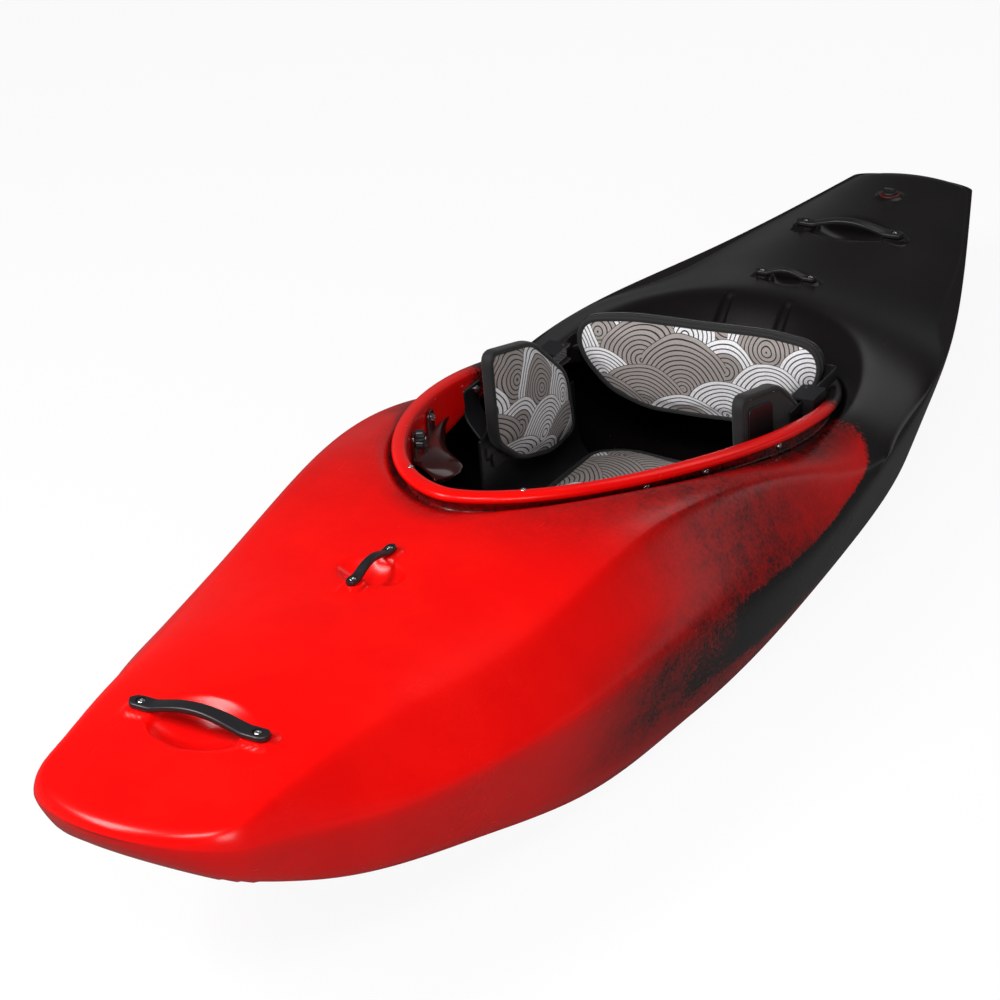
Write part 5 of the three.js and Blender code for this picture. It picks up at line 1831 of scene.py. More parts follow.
@dataclass(frozen=True)
class Handle:
    """One grab bar: a rounded band that arches over its bowl, screwed down at both ends."""

    bar: Bar
    sections: int = 61
    around: int = 28
    squareness: float = 0.42
    arch_share: float = 0.75

    def heights(self, u: Array) -> tuple[Array, Array]:
        """Underside and top of the bar; both arch as (1 - (u / flat)^2)^1.25 between the ends.

        Args:
            u: places along the bar, from its middle.

        Returns:
            Heights of underside and top.
        """
        bar, share = self.bar, self.arch_share
        arch = np.maximum(1 - (u / ((bar.spacing - bar.end) / 2)) ** 2, 0) ** 1.25
        top = bar.end_thickness + (share * (bar.rise + bar.thickness) - share * bar.end_thickness) * arch
        return share * bar.rise * arch, top

    def build(self) -> None:
        """Lofts rounded sections along the bar and sinks a round seat for each screw."""
        bar = self.bar
        reach = (bar.spacing + bar.end) / 2
        u = np.sin(np.linspace(-1, 1, self.sections) * math.pi / 2) * reach
        low, top = self.heights(u)
        corner = bar.width / 2
        into = np.maximum(np.abs(u) - (reach - corner), 0) / corner
        waist = 1 - 0.16 * np.exp(-(u / (reach * 0.45)) ** 2)
        half = bar.width / 2 * np.sqrt(np.maximum(1 - into ** 2, 0)) * waist
        angle = full_turn(self.around)
        across, upward = bulge(np.cos(angle), self.squareness), bulge(np.sin(angle), self.squareness)
        v = half[:, None] * across[None]
        crown = 1 - 0.10 * across[None] ** 2 * (upward[None] > 0)
        w = ((low + top) / 2)[:, None] + ((top - low) / 2)[:, None] * upward[None] * crown
        base = FORM.bar_seat(bar) + CLEARANCE
        x, y = (v, bar.y + u[:, None]) if bar.along else (u[:, None], bar.y + v)
        piece = mesh_piece(f"{bar.name}_grip", stacked(x, y, base + w), SATIN)
        with editing(piece.data) as work:
            fill_rings(work)
            bmesh.ops.recalc_face_normals(work, faces=work.faces)
        self.sink_screws(piece, base)
        settle_in(piece, SATIN, "boat", bar.name)

    def sink_screws(self, piece: Piece, base: float) -> None:
        """Cuts a round seat and a bore for each screw.

        Args:
            piece: the bar.
            base: height of its foot.
        """
        thick = self.bar.end_thickness
        bores = ((0.0064 if self.bar.big else 0.0056, thick - 0.0028), (0.0028, -0.002))
        for place_x, place_y in self.bar.screws():
            for radius, foot in bores:
                height = thick + 0.012 - foot
                bpy.ops.mesh.primitive_cylinder_add(vertices=40, radius=radius, depth=height,
                                                    location=(place_x, place_y, base + foot + height / 2))
                cutter = bpy.context.active_object
                cut = piece.modifiers.new("cut", "BOOLEAN")
                cut.operation, cut.solver, cut.object = "DIFFERENCE", "EXACT", cutter
                bpy.context.view_layer.objects.active = piece
                bpy.ops.object.modifier_apply(modifier=cut.name)
                bpy.data.objects.remove(cutter, do_unlink=True)
        round_edges(piece, 0.0004, 50)


# The coaming's columns between the cockpit's widest place and its front, and where things are bolted
COLUMNS = 13
BRACE_COLUMNS = (3, 5)
LIP_SCREW_COLUMN = 9
BOLT_DROP = 0.025


def neck_plane(column: float, side: float, drop: float) -> Plane:
    """The plane of the coaming's neck at a column: its origin lies on the neck's outside and it faces out.

    Args:
        column: columns counted forward from the cockpit's widest place.
        side: 1 for port and -1 for starboard.
        drop: how far below the rim's top the origin lies.

    Returns:
        The plane.
    """
    sine = -math.sin((column + 0.5) / COLUMNS * math.pi / 2)
    rim = FORM.rim_at(sine + np.array([-0.01, 0.0, 0.01])) * np.array([side, 1.0])
    foot = Moulding.inside_rim(rim, FORM.overhang)
    along = unit(foot[2] - foot[0])
    out = np.array([-along[1], along[0]])
    out *= np.sign(out[0]) * side
    x, y = foot[1].tolist()
    top = float(FORM.rim_height(rim[1][1]))
    return Plane((x, y, top - drop), (*along.tolist(), 0.0), UP, (*out.tolist(), 0.0))


@dataclass(frozen=True)
class Fasteners:
    """Screws, bolts and their washers, turned, with rounded heads and hexagon sockets."""

    head: float = 0.005
    shank: float = 0.0025
    socket: float = 0.0021

    @staticmethod
    def turn(name: str, profile: Pairs, plane: Plane, hexed: float) -> None:
        """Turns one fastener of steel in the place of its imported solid."""
        piece = lathe(f"{name}_turned", profile, STEEL, plane, hexed=hexed)
        settle_in(piece, STEEL, "boat", name)

    def screw(self, name: str, plane: Plane, scale: float = 1.0, length: float = 0.020) -> None:
        """A button-head screw whose head stands on the plane.

        Args:
            name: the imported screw.
            plane: where it stands and which way it faces.
            scale: the head's size against the usual one.
            length: how long the shank is.
        """
        head, shank, socket = self.head, self.shank, self.socket
        profile = [(0.0, -length), (shank * 0.9, -length), (shank, -length + 0.0008), (shank, 0.0),
                   (head, 0.0), (head, 0.0004), (head * 0.95, 0.0011), (head * 0.82, 0.0018),
                   (head * 0.64, 0.0022), (head * 0.5, 0.00235), (socket, 0.0023), (socket, 0.0009),
                   (0.0, 0.0007)]
        sized = [(radius * scale, height * (scale if height > 0 else 1.0)) for radius, height in profile]
        self.turn(name, sized, plane, socket * scale)

    def bolt(self, name: str, plane: Plane, grip: float) -> None:
        """A bolt through the coaming's neck: low round head outside, hexagon nut and washer inside.

        Args:
            name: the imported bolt.
            plane: where it stands and which way it faces.
            grip: how much it holds inside the wall.
        """
        inner = -(FORM.wall + 0.0006 + grip)
        nut = 0.0050
        profile = [(0.0, inner - 0.0044), (0.0026, inner - 0.0044), (0.0028, inner - 0.0040),
                   (nut, inner - 0.0038), (nut, inner - 0.0006), (0.0056, inner - 0.0006), (0.0056, inner),
                   (0.0029, inner), (0.0029, 0.0003), (0.0055, 0.0003), (0.0055, 0.0008),
                   (0.0051, 0.0018), (0.0042, 0.0026), (0.0030, 0.0031),
                   (self.socket, 0.0031), (self.socket, 0.0015), (0.0, 0.0013)]
        self.turn(name, profile, plane, nut)

    def bar_screws(self) -> None:
        """Two screws in each grab bar."""
        for bar in BARS:
            floor = FORM.bar_seat(bar) + CLEARANCE + bar.end_thickness - 0.0025
            for index, (x, y) in enumerate(bar.screws()):
                self.screw(f"{bar.name}_screw_{index + 1}", Plane((float(x), float(y), floor)), 0.98)

    def cockpit_bolts(self) -> None:
        """The bolts of the thigh braces and the seat, and the two screws in the front of the lip."""
        for side in Side:
            for index, column in enumerate(BRACE_COLUMNS):
                self.bolt(f"thigh_brace_bolt_{side.word}_{index + 1}",
                          neck_plane(column, side.value, BOLT_DROP), 0.005)
            self.bolt(f"seat_bolt_{side.word}", neck_plane(0, side.value, BOLT_DROP), 0.0086)
            lip = neck_plane(LIP_SCREW_COLUMN, side.value, 0.0011)
            self.screw(f"coaming_screw_{side.word}", Plane(lip.origin), 0.8, 0.009)


@dataclass(frozen=True)
class Drain:
    """The drain plug and its flanged seat on the tail."""

    y: float = 1.034
    flange: float = 0.018
    cap: float = 0.0127
    bore: float = 0.010

    def build(self) -> None:
        """Turns the seat with its rounded flange, and the ribbed cap with its finger bar."""
        top = float(FORM.deck(np.array([0.0]), np.array([self.y]))[0])
        plane = Plane((0.0, self.y, top))
        seat = lathe("drain_seat_ring", [
            (self.bore, -0.0160), (0.0138, -0.0160), (0.0138, 0.0003), (self.flange, 0.0003),
            (self.flange, 0.0012), (self.flange * 0.985, 0.0018), (self.flange * 0.95, 0.0022),
            (0.0150, 0.0023), (0.0146, 0.0020), (0.0138, 0.0020), (0.0134, 0.0023), (0.0108, 0.0023),
            (self.bore, 0.0016), (self.bore, -0.0160)],
            MAROON, plane, 72)
        settle_in(seat, MAROON, "boat", "drain_plug_seat")
        foot = 0.0026
        cap = lathe("drain_cap", [
            (0.0, -0.0140), (0.0088, -0.0140), (0.0097, -0.0130), (0.0097, foot), (self.cap * 0.97, foot),
            (self.cap, foot + 0.0005), (self.cap, foot + 0.0022), (self.cap * 0.965, foot + 0.0028),
            (self.cap * 0.90, foot + 0.0030), (0.0088, foot + 0.0030), (0.0082, foot + 0.0024),
            (0.0, foot + 0.0022)],
            SATIN, plane, 144, (36, 0.014, self.cap * 0.95))
        long, wide = 0.0101, 0.0020
        loop = rounded_loop([(-long, -wide), (long, -wide), (long, wide), (-long, wide)], 0.0019, 64)
        grip = slab("drain_grip", loop, foot + 0.0018, foot + 0.0098, 0.0012, SATIN, plane)
        plug = joined("drain_plug_cap", [cap, grip])
        settle_in(plug, SATIN, "drain_plug", "drain_plug")


@dataclass(frozen=True)
class Pillars:
    """The two foam walls on the centreline, between the bottom and the deck."""

    width: float = 0.070
    spans: tuple[tuple[str, float, float], ...] = (
        ("front_foam_pillar", -1.000, -0.440), ("rear_foam_pillar", 0.530, 1.000))

    def top(self, y: Array) -> Array:
        """Just under the deck, and lower under a bar's bowl and screws.

        Args:
            y: places along the boat.

        Returns:
            The heights.
        """
        height = FORM.plain_deck(np.full_like(y, self.width / 2), y) - FORM.wall - 0.0025
        for bar in BARS:
            reach = (bar.spacing / 2 + bar.end if bar.along else bar.hollow.half_y + FORM.wall) + 0.002
            near = ease((reach + 0.012 - np.abs(y - bar.y)) / 0.012)
            height = height - near * 0.033
        return height

    def foot(self, y: Array) -> Array:
        """Just above the bottom's inside: the wall is thicker, measured upright, where the bottom slopes.

        Args:
            y: places along the boat.

        Returns:
            The heights.
        """
        half = np.full_like(y, self.width / 2)
        step = FORM.wall / 2
        slope = (FORM.bottom(half, y + step) - FORM.bottom(half, y - step)) / (2 * step)
        return FORM.bottom(half, y) + FORM.wall * np.sqrt(1 + slope ** 2) + 0.0006

    def build(self) -> None:
        """Cuts each wall to the room there is."""
        for name, start, end in self.spans:
            y = np.linspace(start + 0.001, end - 0.001, 60)
            low, high = self.foot(y), self.top(y)
            keep = high - low > 0.012
            path = np.concatenate([stacked(y, low)[keep], stacked(y, high)[keep][::-1]])
            piece = slab(f"{name}_block", even_loop(path, 240), 0.0, self.width, 0.004, FOAM,
                         upright(-self.width / 2, 1.0))
            settle_in(piece, FOAM, "boat", name, fill=1.0)


@dataclass(frozen=True)
class Seat:
    """The bolted seat: pan, wings and tabs, its pad, the hip pads and their plates."""

    start: float = -0.010
    end: float = 0.275
    floor: float = 0.0063
    wing: float = 0.2109
    thickness: float = 0.005
    wing_top: float = 0.192
    pan: float = 0.130
    pan_rise: float = 0.0791

    def section(self) -> Array:
        """The middle line of the seat's section on the port side, from the keel out and up.

        Returns:
            Places across and up.
        """
        mid = self.wing + self.thickness / 2
        low = self.floor + self.thickness / 2
        t = np.linspace(0, 1, 26)[:, None]
        bend = parabola(t, stacked(self.pan, low), stacked(mid, low), stacked(mid, low + self.pan_rise))
        flat = stacked(np.linspace(0, self.pan, 14)[:-1], low)
        rise = np.linspace(low + self.pan_rise, self.wing_top - 0.0025, 16)[1:]
        return np.concatenate([flat, bend, stacked(mid, rise)])

    def shell(self) -> Piece:
        """Carries the section along the boat; the wings fall away aft and the pan's ends curl a little.

        Returns:
            The seat with its two tabs.
        """
        right = self.section()
        line = np.concatenate([(right * np.array([-1, 1]))[:0:-1], right])
        along = unit(np.gradient(line, axis=0))
        normal = stacked(-along[:, 1], along[:, 0])
        half = self.thickness / 2
        tip = np.linspace(0, math.pi, 9)[1:-1, None]
        ends = [line[-1] + half * (normal[-1] * np.cos(tip) + along[-1] * np.sin(tip)),
                line[0] - half * (normal[0] * np.cos(tip) + along[0] * np.sin(tip))]
        loop = np.concatenate([line + normal * half, ends[0], (line - normal * half)[::-1], ends[1]])
        y = self.start + (self.end - self.start) * (1 - np.cos(np.linspace(0, math.pi, 40))) / 2
        top = self.wing_top - 0.040 * ease((y - 0.10) / 0.16) - 0.014 * ease((0.03 - y) / 0.04)
        base = 0.100
        over = np.maximum(loop[None, :, 1] - base, 0) * ((top - base) / (self.wing_top - base))[:, None]
        z = np.minimum(loop[None, :, 1], base) + over
        piece = mesh_piece("seat_pan", stacked(loop[None, :, 0], y[:, None], z), SATIN)
        close_holes(piece)
        return joined("seat_shell_moulding", [piece] + [self.tab(side) for side in Side])

    def tab(self, side: Side) -> Piece:
        """The strap of plastic from a wing up to its bolt in the coaming's neck.

        Args:
            side: the side of the boat.

        Returns:
            The tab.
        """
        mid = self.wing + self.thickness / 2
        t = np.linspace(0, 1, 40)
        x, z = (Curve(tuple(np.linspace(0, 1, 4)), values)(t)
                for values in ((mid, mid, 0.2403, 0.2403), (0.140, 0.168, 0.205, 0.2500)))
        line = stacked(x * side.value, 0.023, z)
        return ribbon(f"seat_tab_{side.word}", line, AFT, 0.0225, np.full(len(t), 0.0032), SATIN)

    def pad_heights(self, x: Array, y: Array) -> tuple[Array, Array]:
        """Top and underside of the seat pad: risen aft and to the sides, dished in the middle.

        Args:
            x: places across the boat.
            y: places along the boat.

        Returns:
            Heights of top and underside.
        """
        floor = self.floor + self.thickness + 0.0006
        u, v = x / 0.160, np.clip(y / 0.262, 0, 1)
        top = floor + 0.034 + 0.018 * v + 0.020 * u * u - 0.006 * (1 - u * u) * np.sin(math.pi * v)
        beyond = np.maximum(np.abs(x) - self.pan, 0) / (self.wing - self.pan)
        return top, floor + 0.0006 + self.pan_rise * beyond ** 2

    def pad(self) -> None:
        """A dished pad with a rolled edge, bound in black, printed on top."""
        loop = rounded_loop([(-0.158, 0.004), (0.158, 0.004), (0.162, 0.080), (0.152, 0.222), (0.104, 0.258),
                             (-0.104, 0.258), (-0.152, 0.222), (-0.162, 0.080)], 0.030, 160)
        rows, roll = 30, 0.010
        plan, share, angle = pad_plan(loop, roll, rows, 13)
        top, foot = self.pad_heights(plan[..., 0], plan[..., 1])
        part = np.concatenate([np.ones(rows), (1 + np.cos(angle)) / 2, np.zeros(rows)])[:, None]
        rim = 0.004 * np.concatenate([share ** 8, np.ones(len(angle)), np.zeros(rows)])[:, None]
        height = foot + (top - foot - rim) * part
        height[:rows] += 0.004 * (1 - share[:, None] ** 4)
        pad = mesh_piece("seat_pad_cover", raised(plan, height), SEAT_PRINT)
        puff(pad, loop, 0.004)
        soften(pad)
        settle_in(pad, SEAT_PRINT, "boat", "seat_pad", fill=0.7)
        top, foot = self.pad_heights(loop[:, 0], loop[:, 1])
        out = loop_normals(loop)
        tube = ring_tube("seat_pad_binding", loop - out * 0.004, out, foot + (top - foot) * 0.72,
                         (0.0052, 0.0105), power=1.0)
        settle_in(tube, BINDING, "boat", fill=0.8)

    def hips(self) -> None:
        """The two hip pads, printed, on their upright plates."""
        shares = np.array([[0.0, 1.0], [0.52, 0.86], [0.93, 0.47], [1.0, 0.02], [0.68, 0.0], [0.29, 0.13],
                           [0.02, 0.36]])
        loop = rounded_loop(np.array([0.001, 0.0855]) + shares * np.array([0.2360, 0.2330]), 0.024, 150)
        board = rounded_loop([(0.016, 0.120), (0.092, 0.120), (0.092, 0.276), (0.016, 0.2955)], 0.012, 90)
        for side in Side:
            x = side.value
            Cushion(f"hip_pad_{side.word}_cover", loop, upright(x * 0.2068, -x), 0.016, 0.011, 0.007,
                    puffed=0.005).build(HIP_PRINT, "boat", f"hip_pad_{side.word}")
            plate = slab(f"hip_plate_{side.word}_board", board, 0.0, 0.003, 0.0011, SATIN,
                         upright(x * 0.2073, x))
            settle_in(plate, SATIN, "boat", f"hip_plate_{side.word}")

    def build(self) -> None:
        """Makes the whole seat."""
        settle_in(self.shell(), SATIN, "boat", "seat_shell")
        self.pad()
        self.hips()


@dataclass(frozen=True)
class Backband:
    """The backband: printed pad on a curved shell, hung from two toothed straps."""

    centre: tuple[float, float] = (-0.004, 0.296)
    yaw: float = 5.0
    half: float = 0.200
    foot: float = 0.1150
    height: float = 0.160
    sag: float = 0.011
    strap_inside: float = 0.2085
    strap_front: float = 0.150

    def plane(self, behind: float) -> Plane:
        """The band's own plane, facing the bow, moved back by a distance.

        Args:
            behind: the distance.

        Returns:
            The plane, bent by the band's sag.
        """
        turn = math.radians(self.yaw)
        facing = (math.sin(turn), -math.cos(turn), 0.0)
        origin = (self.centre[0] - facing[0] * behind, self.centre[1] - facing[1] * behind, 0.0)
        return Plane(origin, (math.cos(turn), math.sin(turn), 0.0), UP, facing, self.sag, self.half)

    def loop(self, margin: float) -> Array:
        """The band's outline, drawn in by a margin: a full top and a foot that tapers from wide shoulders.

        Args:
            margin: how far the outline is drawn in.

        Returns:
            The outline.
        """
        shares = np.array([[0.0, 0.0], [0.44, 0.02], [0.74, 0.18], [0.95, 0.50], [1.0, 0.75], [0.92, 0.95],
                           [0.55, 1.0], [0.0, 0.985]])
        left = shares[1:-1][::-1] * np.array([-1, 1])
        corners = np.concatenate([shares, left]) * np.array([self.half - margin, self.height - 2 * margin])
        return rounded_loop(corners + np.array([0.0, self.foot + margin]), 0.024, 200)

    def strap(self, side: Side) -> Piece:
        """A toothed strap: straight aft through the ratchet, then bent in behind the band's end.

        Args:
            side: the side of the boat.

        Returns:
            The strap.
        """
        yaw = math.radians(self.yaw)
        lean = math.tan(yaw * side.value)
        across = side.value * (self.half - 0.014)
        tip = abs(self.centre[0] + across * math.cos(yaw) - 0.0049 * math.sin(yaw))
        end_y = self.centre[1] + across * math.sin(yaw) + 0.0049 * math.cos(yaw)
        mid = self.strap_inside + 0.00125
        last = 0.030
        elbow = np.array([mid, end_y + (mid - tip) * lean + 0.0012])
        start = np.array([mid, self.strap_front])
        end = np.array([tip - last, end_y - last * lean + 0.0022])
        bend = 0.010
        ends = [elbow + unit(corner - elbow) * bend for corner in (start, end)]
        curve = parabola(np.linspace(0, 1, 12)[:, None], ends[0], elbow, ends[1])
        flat = np.concatenate([start[None], curve, end[None]])
        at = np.arange(0.0, path_run(flat)[-1], 0.0007)
        plan = on_path(flat, at)
        teeth = 0.0007 * np.abs(((at / 0.0052) % 1) * 2 - 1) ** 0.7 * ease((0.120 - at) / 0.01)
        height = self.foot + self.height - 0.054
        line = stacked((plan[:, 0] - teeth / 2) * side.value, plan[:, 1], height)
        return ribbon(f"ladder_strap_{side.word}_web", line, UP, 0.0098, 0.00115 + teeth / 2, SATIN)

    def build(self) -> None:
        """Makes pad, binding, shell and straps, all on the sliding body."""
        Cushion("backband_cover", self.loop(0.003), self.plane(0.0), 0.0120, 0.0075, 0.006,
                creases=(0.096,)).build(BAND_PRINT, "backband", "backband_pad")
        back = Cushion("backband_board", self.loop(0.0), self.plane(0.0046), 0.004, 0.0, 0.0019)
        board = mesh_piece(back.name, back.plane.place(back.form(8)), SATIN)
        settle_in(board, SATIN, "backband", "backband_shell")
        for side in Side:
            settle_in(self.strap(side), SATIN, "backband", f"ladder_strap_{side.word}")


@dataclass(frozen=True)
class ThighBrace:
    """A hooked glossy blade under the coaming, held by two tabs, with foam beneath it."""

    side: Side
    drop: float = 0.046
    thickness: float = 0.0055
    foam: float = 0.008

    @staticmethod
    def wall(column: Array, inset: float) -> Array:
        """Places in plan along the neck's inside, one for each column."""
        return Moulding.inside_rim(FORM.rim_at(-np.sin(column / COLUMNS * math.pi / 2)), inset)

    def blade(self, name: str, first: float, last: float, margin: float, low: float, high: float,
              finish: Finish) -> Piece:
        """A plate from the neck to the hooked inner edge, carried from column to column.

        The section at each column is a flat oval; it dips toward the hook by 16 mm times t squared.

        Args:
            name: the piece's name.
            first: the column it starts from.
            last: the column it ends at.
            margin: how far its edges are drawn in.
            low: its underside below the blade's top.
            high: its top below the blade's top.
            finish: the finish.

        Returns:
            The closed piece, on its side of the boat.
        """
        rows = 44
        column = first + (last - first) * (1 - np.cos(np.linspace(0, math.pi, rows))) / 2
        wall = self.wall(column, FORM.overhang + FORM.wall + 0.0012 + margin)
        stations = (2.0, 2.6, 3.4, 4.2, 5.0, 5.6, 6.0)
        inner = stacked(
            Curve(stations, (0.232, 0.212, 0.184, 0.150, 0.120, 0.114, 0.124))(column),
            Curve(stations, (-0.068, -0.100, -0.142, -0.176, -0.206, -0.246, -0.272))(column))
        arm = inner - wall
        length = np.linalg.norm(arm, axis=-1, keepdims=True)
        inner = wall + arm * np.maximum(1 - margin / length, 0.1)
        angle = full_turn(36)
        t = 0.5 + 0.5 * bulge(np.cos(angle), 0.55)
        lift = bulge(np.sin(angle), 0.28)
        plan = wall[:, None] + (inner - wall)[:, None] * t[None, :, None]
        dip = 0.016 * t ** 2
        taper = np.sqrt(np.maximum(1 - (np.linspace(-1, 1, rows)) ** 12, 0.02))[:, None]
        middle, half = (low + high) / 2, (low - high) / 2
        z = FORM.rim_height(plan[..., 1]) - self.drop - middle - dip[None] + lift[None] * half * taper
        piece = mesh_piece(name, raised(plan * np.array([self.side.value, 1.0]), z), finish)
        close_holes(piece)
        return piece

    def tab(self, index: int, column: int) -> Piece:
        """A rounded ear against the neck's inside, round one bolt.

        Args:
            index: a number for its name.
            column: the bolt's column.

        Returns:
            The ear.
        """
        plane = neck_plane(column, self.side.value, BOLT_DROP)
        loop = rounded_loop([(-0.017, -0.030), (0.017, -0.030), (0.012, 0.011), (-0.012, 0.011)], 0.011, 80)
        foot = -(FORM.wall + CLEARANCE)
        return slab(f"brace_tab_{index}", loop, foot - 0.005, foot, 0.0014, BRACE, plane)

    def knob(self, column: int) -> Piece:
        """A ribbed thumb wheel over the foremost bolt's nut, with a small bright cap.

        Args:
            column: the bolt's column.

        Returns:
            The wheel with its cap.
        """
        plane = neck_plane(column, self.side.value, BOLT_DROP)
        foot = -(FORM.wall + 0.0056 + 0.0044)
        wheel = lathe(f"brace_wheel_{self.side.word}", [
            (0.0, foot + 0.0042), (0.0115, foot + 0.0042), (0.0130, foot + 0.0030), (0.0130, foot - 0.0062),
            (0.0118, foot - 0.0078), (0.0080, foot - 0.0084), (0.0066, foot - 0.0070), (0.0, foot - 0.0070)],
            SATIN, plane, 120, (20, 0.05, 0.0125))
        cap = lathe(f"brace_cap_{self.side.word}", [
            (0.0, foot - 0.0068), (0.0046, foot - 0.0068), (0.0046, foot - 0.0090), (0.0038, foot - 0.0100),
            (0.0, foot - 0.0103)], STEEL, plane, 40)
        return joined(f"thigh_brace_knob_{self.side.word}", [wheel, cap])

    def build(self) -> None:
        """Makes blade, tabs, foam and thumb wheel."""
        word = self.side.word
        # the blade and tabs take the dark red that stands for a painted reflection of the red wall
        blade = self.blade("brace_blade", 2.0, 6.0, 0.0, self.thickness, 0.0, BRACE)
        tabs = [self.tab(index, column) for index, column in enumerate(BRACE_COLUMNS)]
        brace = joined(f"thigh_brace_{word}_moulding", [blade, *tabs])
        settle_in(brace, BRACE, "boat", f"thigh_brace_{word}")
        top = self.thickness + CLEARANCE
        pad = self.blade(f"thigh_pad_{word}_foam", 3.1, 5.8, 0.010, top + self.foam, top, FOAM)
        settle_in(pad, FOAM, "boat", f"thigh_pad_{word}", fill=0.9)
        settle_in(self.knob(BRACE_COLUMNS[1]), SATIN, "boat")


@dataclass(frozen=True)
class Footrest:
    """The footrest's foam faces; its rails, plates and locks stay as packed, with eased edges."""

    inside: float = 0.058
    outside: float = 0.1977
    low: float = 0.094
    high: float = 0.250
    face: float = -0.604

    def build(self) -> None:
        """Makes one grooved foam pad for each plate."""
        half = (self.outside - self.inside) / 2
        loop = rounded_loop([(-half, self.low), (half, self.low), (half, self.high), (-half, self.high)], 0.024)
        for side in Side:
            plane = Plane((side.value * (self.inside + self.outside) / 2, self.face + CLEARANCE, 0.0),
                          (side.value, 0.0, 0.0), UP, AFT)
            grid = Cushion("", loop, plane, 0.0085, 0.0022, 0.0034).form(40)
            groove = np.exp(-((((grid[..., 1] + 0.004) % 0.018) - 0.009) / 0.0022) ** 2)
            grid[..., 2] -= (grid[..., 2] > 0.0084) * 0.0016 * groove
            piece = mesh_piece(f"foot_pad_{side.word}_foam", plane.place(grid), FOAM)
            settle_in(piece, FOAM, f"foot_plate_{side.word}", f"foot_pad_{side.word}", fill=0.9)


def ease_edges(name: str, width: float) -> None:
    """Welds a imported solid's loose triangles by live modifiers and rounds its sharp edges.

    Args:
        name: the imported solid.
        width: how wide the rounded edge gets.
    """
    node = frame["nodes"][name]
    weld = node.modifiers.new("weld", "WELD")
    weld.merge_threshold = 0.00002
    round_edges(node, width, 40)


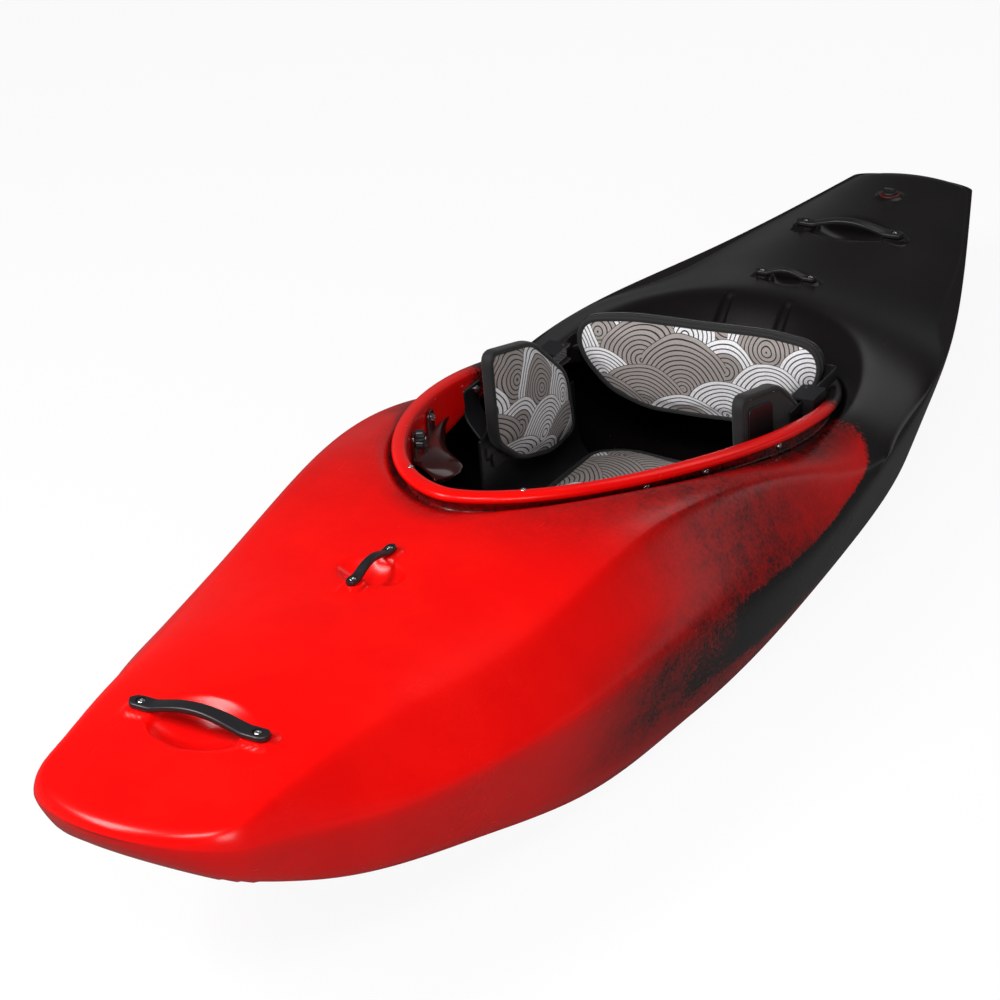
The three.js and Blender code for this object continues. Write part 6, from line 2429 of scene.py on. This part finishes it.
@dataclass(frozen=True)
class Studio:
    """The camera that was worked out from the photograph, the lamps, the floor and the sky."""

    place: Triple = (1.5904, -2.8802, 1.8487)
    turn: float = 0.5539
    tilt: float = 0.481
    roll: float = -0.0726
    lens: float = 93.2

    def camera(self) -> None:
        """Sets the camera from its turn about Z, its tilt below the horizon and its roll."""
        ahead = Vector((-math.sin(self.turn) * math.cos(self.tilt),
                        math.cos(self.turn) * math.cos(self.tilt), -math.sin(self.tilt)))
        right = Vector((math.cos(self.turn), math.sin(self.turn), 0.0))
        up = right.cross(ahead)
        x = right * math.cos(self.roll) + up * math.sin(self.roll)
        y = up * math.cos(self.roll) - right * math.sin(self.roll)
        data = bpy.data.cameras.new("camera")
        data.lens, data.sensor_width, data.clip_end = self.lens, 36.0, 60.0
        axes = Matrix((x, y, -ahead)).transposed().to_4x4()
        axes.translation = Vector(self.place)
        camera = linked("camera", data)
        camera.matrix_world = axes
        bpy.context.scene.camera = camera

    @staticmethod
    def lamp(name: str, place: Triple, aim: Triple, size: tuple[float, float], power: float) -> None:
        """Adds a rectangular soft lamp that faces a point.

        Args:
            name: the lamp's name.
            place: where it stands.
            aim: the point that it faces.
            size: its width and height.
            power: its power in watts.
        """
        data = bpy.data.lights.new(name, "AREA")
        data.shape, data.size, data.size_y, data.energy = "RECTANGLE", *size, power
        lamp = linked(name, data)
        lamp.location = place
        lamp.rotation_euler = (Vector(aim) - Vector(place)).to_track_quat("-Z", "Y").to_euler()

    def lamps(self) -> None:
        """A key and a top lamp over the bow, two to port, one for the bow's edge and one over the stern."""
        self.lamp("key", (-1.7, -2.16, 2.85), (0.0, -0.8, 0.3), (1.5, 1.2), 84)
        self.lamp("front_top", (0.9, -2.8, 3.2), (0.0, -0.4, 0.25), (1.6, 1.0), 74)
        self.lamp("port_strip", (2.3, 2.3, 0.55), (0.3, -0.1, 0.15), (1.4, 0.4), 1.4)
        self.lamp("port_fill", (2.6, -2.3, 1.3), (0.2, -0.5, 0.15), (1.2, 1.0), 28)
        self.lamp("bow_strip", (-1.45, -2.55, 1.87), (0.0, -1.1, 0.26), (1.0, 0.25), 12)
        self.lamp("rear_top", (0.5, 3.0, 2.7), (0.0, 0.4, 0.2), (2.2, 1.2), 9)

    @staticmethod
    def floor() -> None:
        """A wide floor with a soft shadow: the camera sees it white, reflections see it nearly black."""
        bpy.ops.mesh.primitive_plane_add(size=60, location=(0, 0, -0.0005))
        plane = bpy.context.active_object
        plane.name = "floor"
        material = bpy.data.materials.new("floor_paper")
        material.use_nodes = True
        nodes = Nodes(material.node_tree)
        shader = material.node_tree.nodes["Principled BSDF"]
        rays = nodes.outputs(nodes.add("ShaderNodeLightPath"))
        looks = rays["Is Camera Ray"].larger(rays["Is Transmission Ray"])
        glossy = rays["Is Glossy Ray"]
        tint = nodes.mix(glossy, (0.35, 0.35, 0.35, 1.0), (0.06, 0.06, 0.06, 1.0))
        for label, value in (("Roughness", 1.0), ("Specular IOR Level", 0.0),
                             ("Base Color", nodes.mix(looks, tint, (1.0, 1.0, 1.0, 1.0)))):
            nodes.feed(value, shader.inputs[label])
        share = (looks * 0.93).larger(glossy * 0.07)
        blend = nodes.make("ShaderNodeMixShader", {0: share, 1: Signal(nodes, shader.outputs[0]),
                                                   2: nodes.make("ShaderNodeEmission", {})})
        nodes.feed(blend, material.node_tree.nodes["Material Output"].inputs["Surface"])
        plane.data.materials.append(material)

    @staticmethod
    def sky() -> None:
        """A plain dim sky that is brighter near the horizon and fades overhead."""
        world = bpy.data.worlds.new("sky")
        world.use_nodes = True
        bpy.context.scene.world = world
        nodes = Nodes(world.node_tree)
        back = world.node_tree.nodes["Background"]
        back.inputs["Color"].default_value = (1.0, 1.0, 1.0, 1.0)
        _, _, up = nodes.split(nodes.make("ShaderNodeTexCoord", {}, "Generated"))
        nodes.feed(nodes.ramp(up, 0.02, 0.30, 0.20, 0.07), back.inputs["Strength"])

    def build(self) -> None:
        """Sets up the whole studio."""
        self.camera()
        self.lamps()
        self.floor()
        self.sky()
        bpy.context.scene.view_settings.view_transform = "Standard"


def dress_solids() -> None:
    """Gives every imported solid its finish, and eases the edges of those that stay in view."""
    finishes = {finish.slot: finish for finish in (SATIN, GLOSS, STEEL, FOAM)}
    finishes["pad_fabric"] = BINDING
    for row in frame["record"]["subparts"]:
        finish = finishes.get(row["material_slot"])
        if finish:
            for slot in frame["nodes"][row["node"]].material_slots:
                slot.material = finish.material()
    for side in Side:
        for part, width in (("ratchet_buckle", 0.0007), ("ratchet_lever", 0.0006), ("ratchet_pin", 0.0003),
                            ("footrest_rail", 0.0012), ("foot_plate", 0.0012), ("foot_plate_lock", 0.0008)):
            ease_edges(f"{part}_{side.word}", width)


def main() -> None:
    """Builds the studio and every piece in order, and reports each one."""
    logging.basicConfig(level=logging.INFO, format="%(name)s: %(message)s")
    Studio().build()
    dress_solids()
    Moulding().build()
    for bar in BARS:
        Handle(bar).build()
    Fasteners().bar_screws()
    Fasteners().cockpit_bolts()
    Drain().build()
    Pillars().build()
    Seat().build()
    Backband().build()
    for side in Side:
        ThighBrace(side).build()
    Footrest().build()


if __name__ == "__main__":
    main()
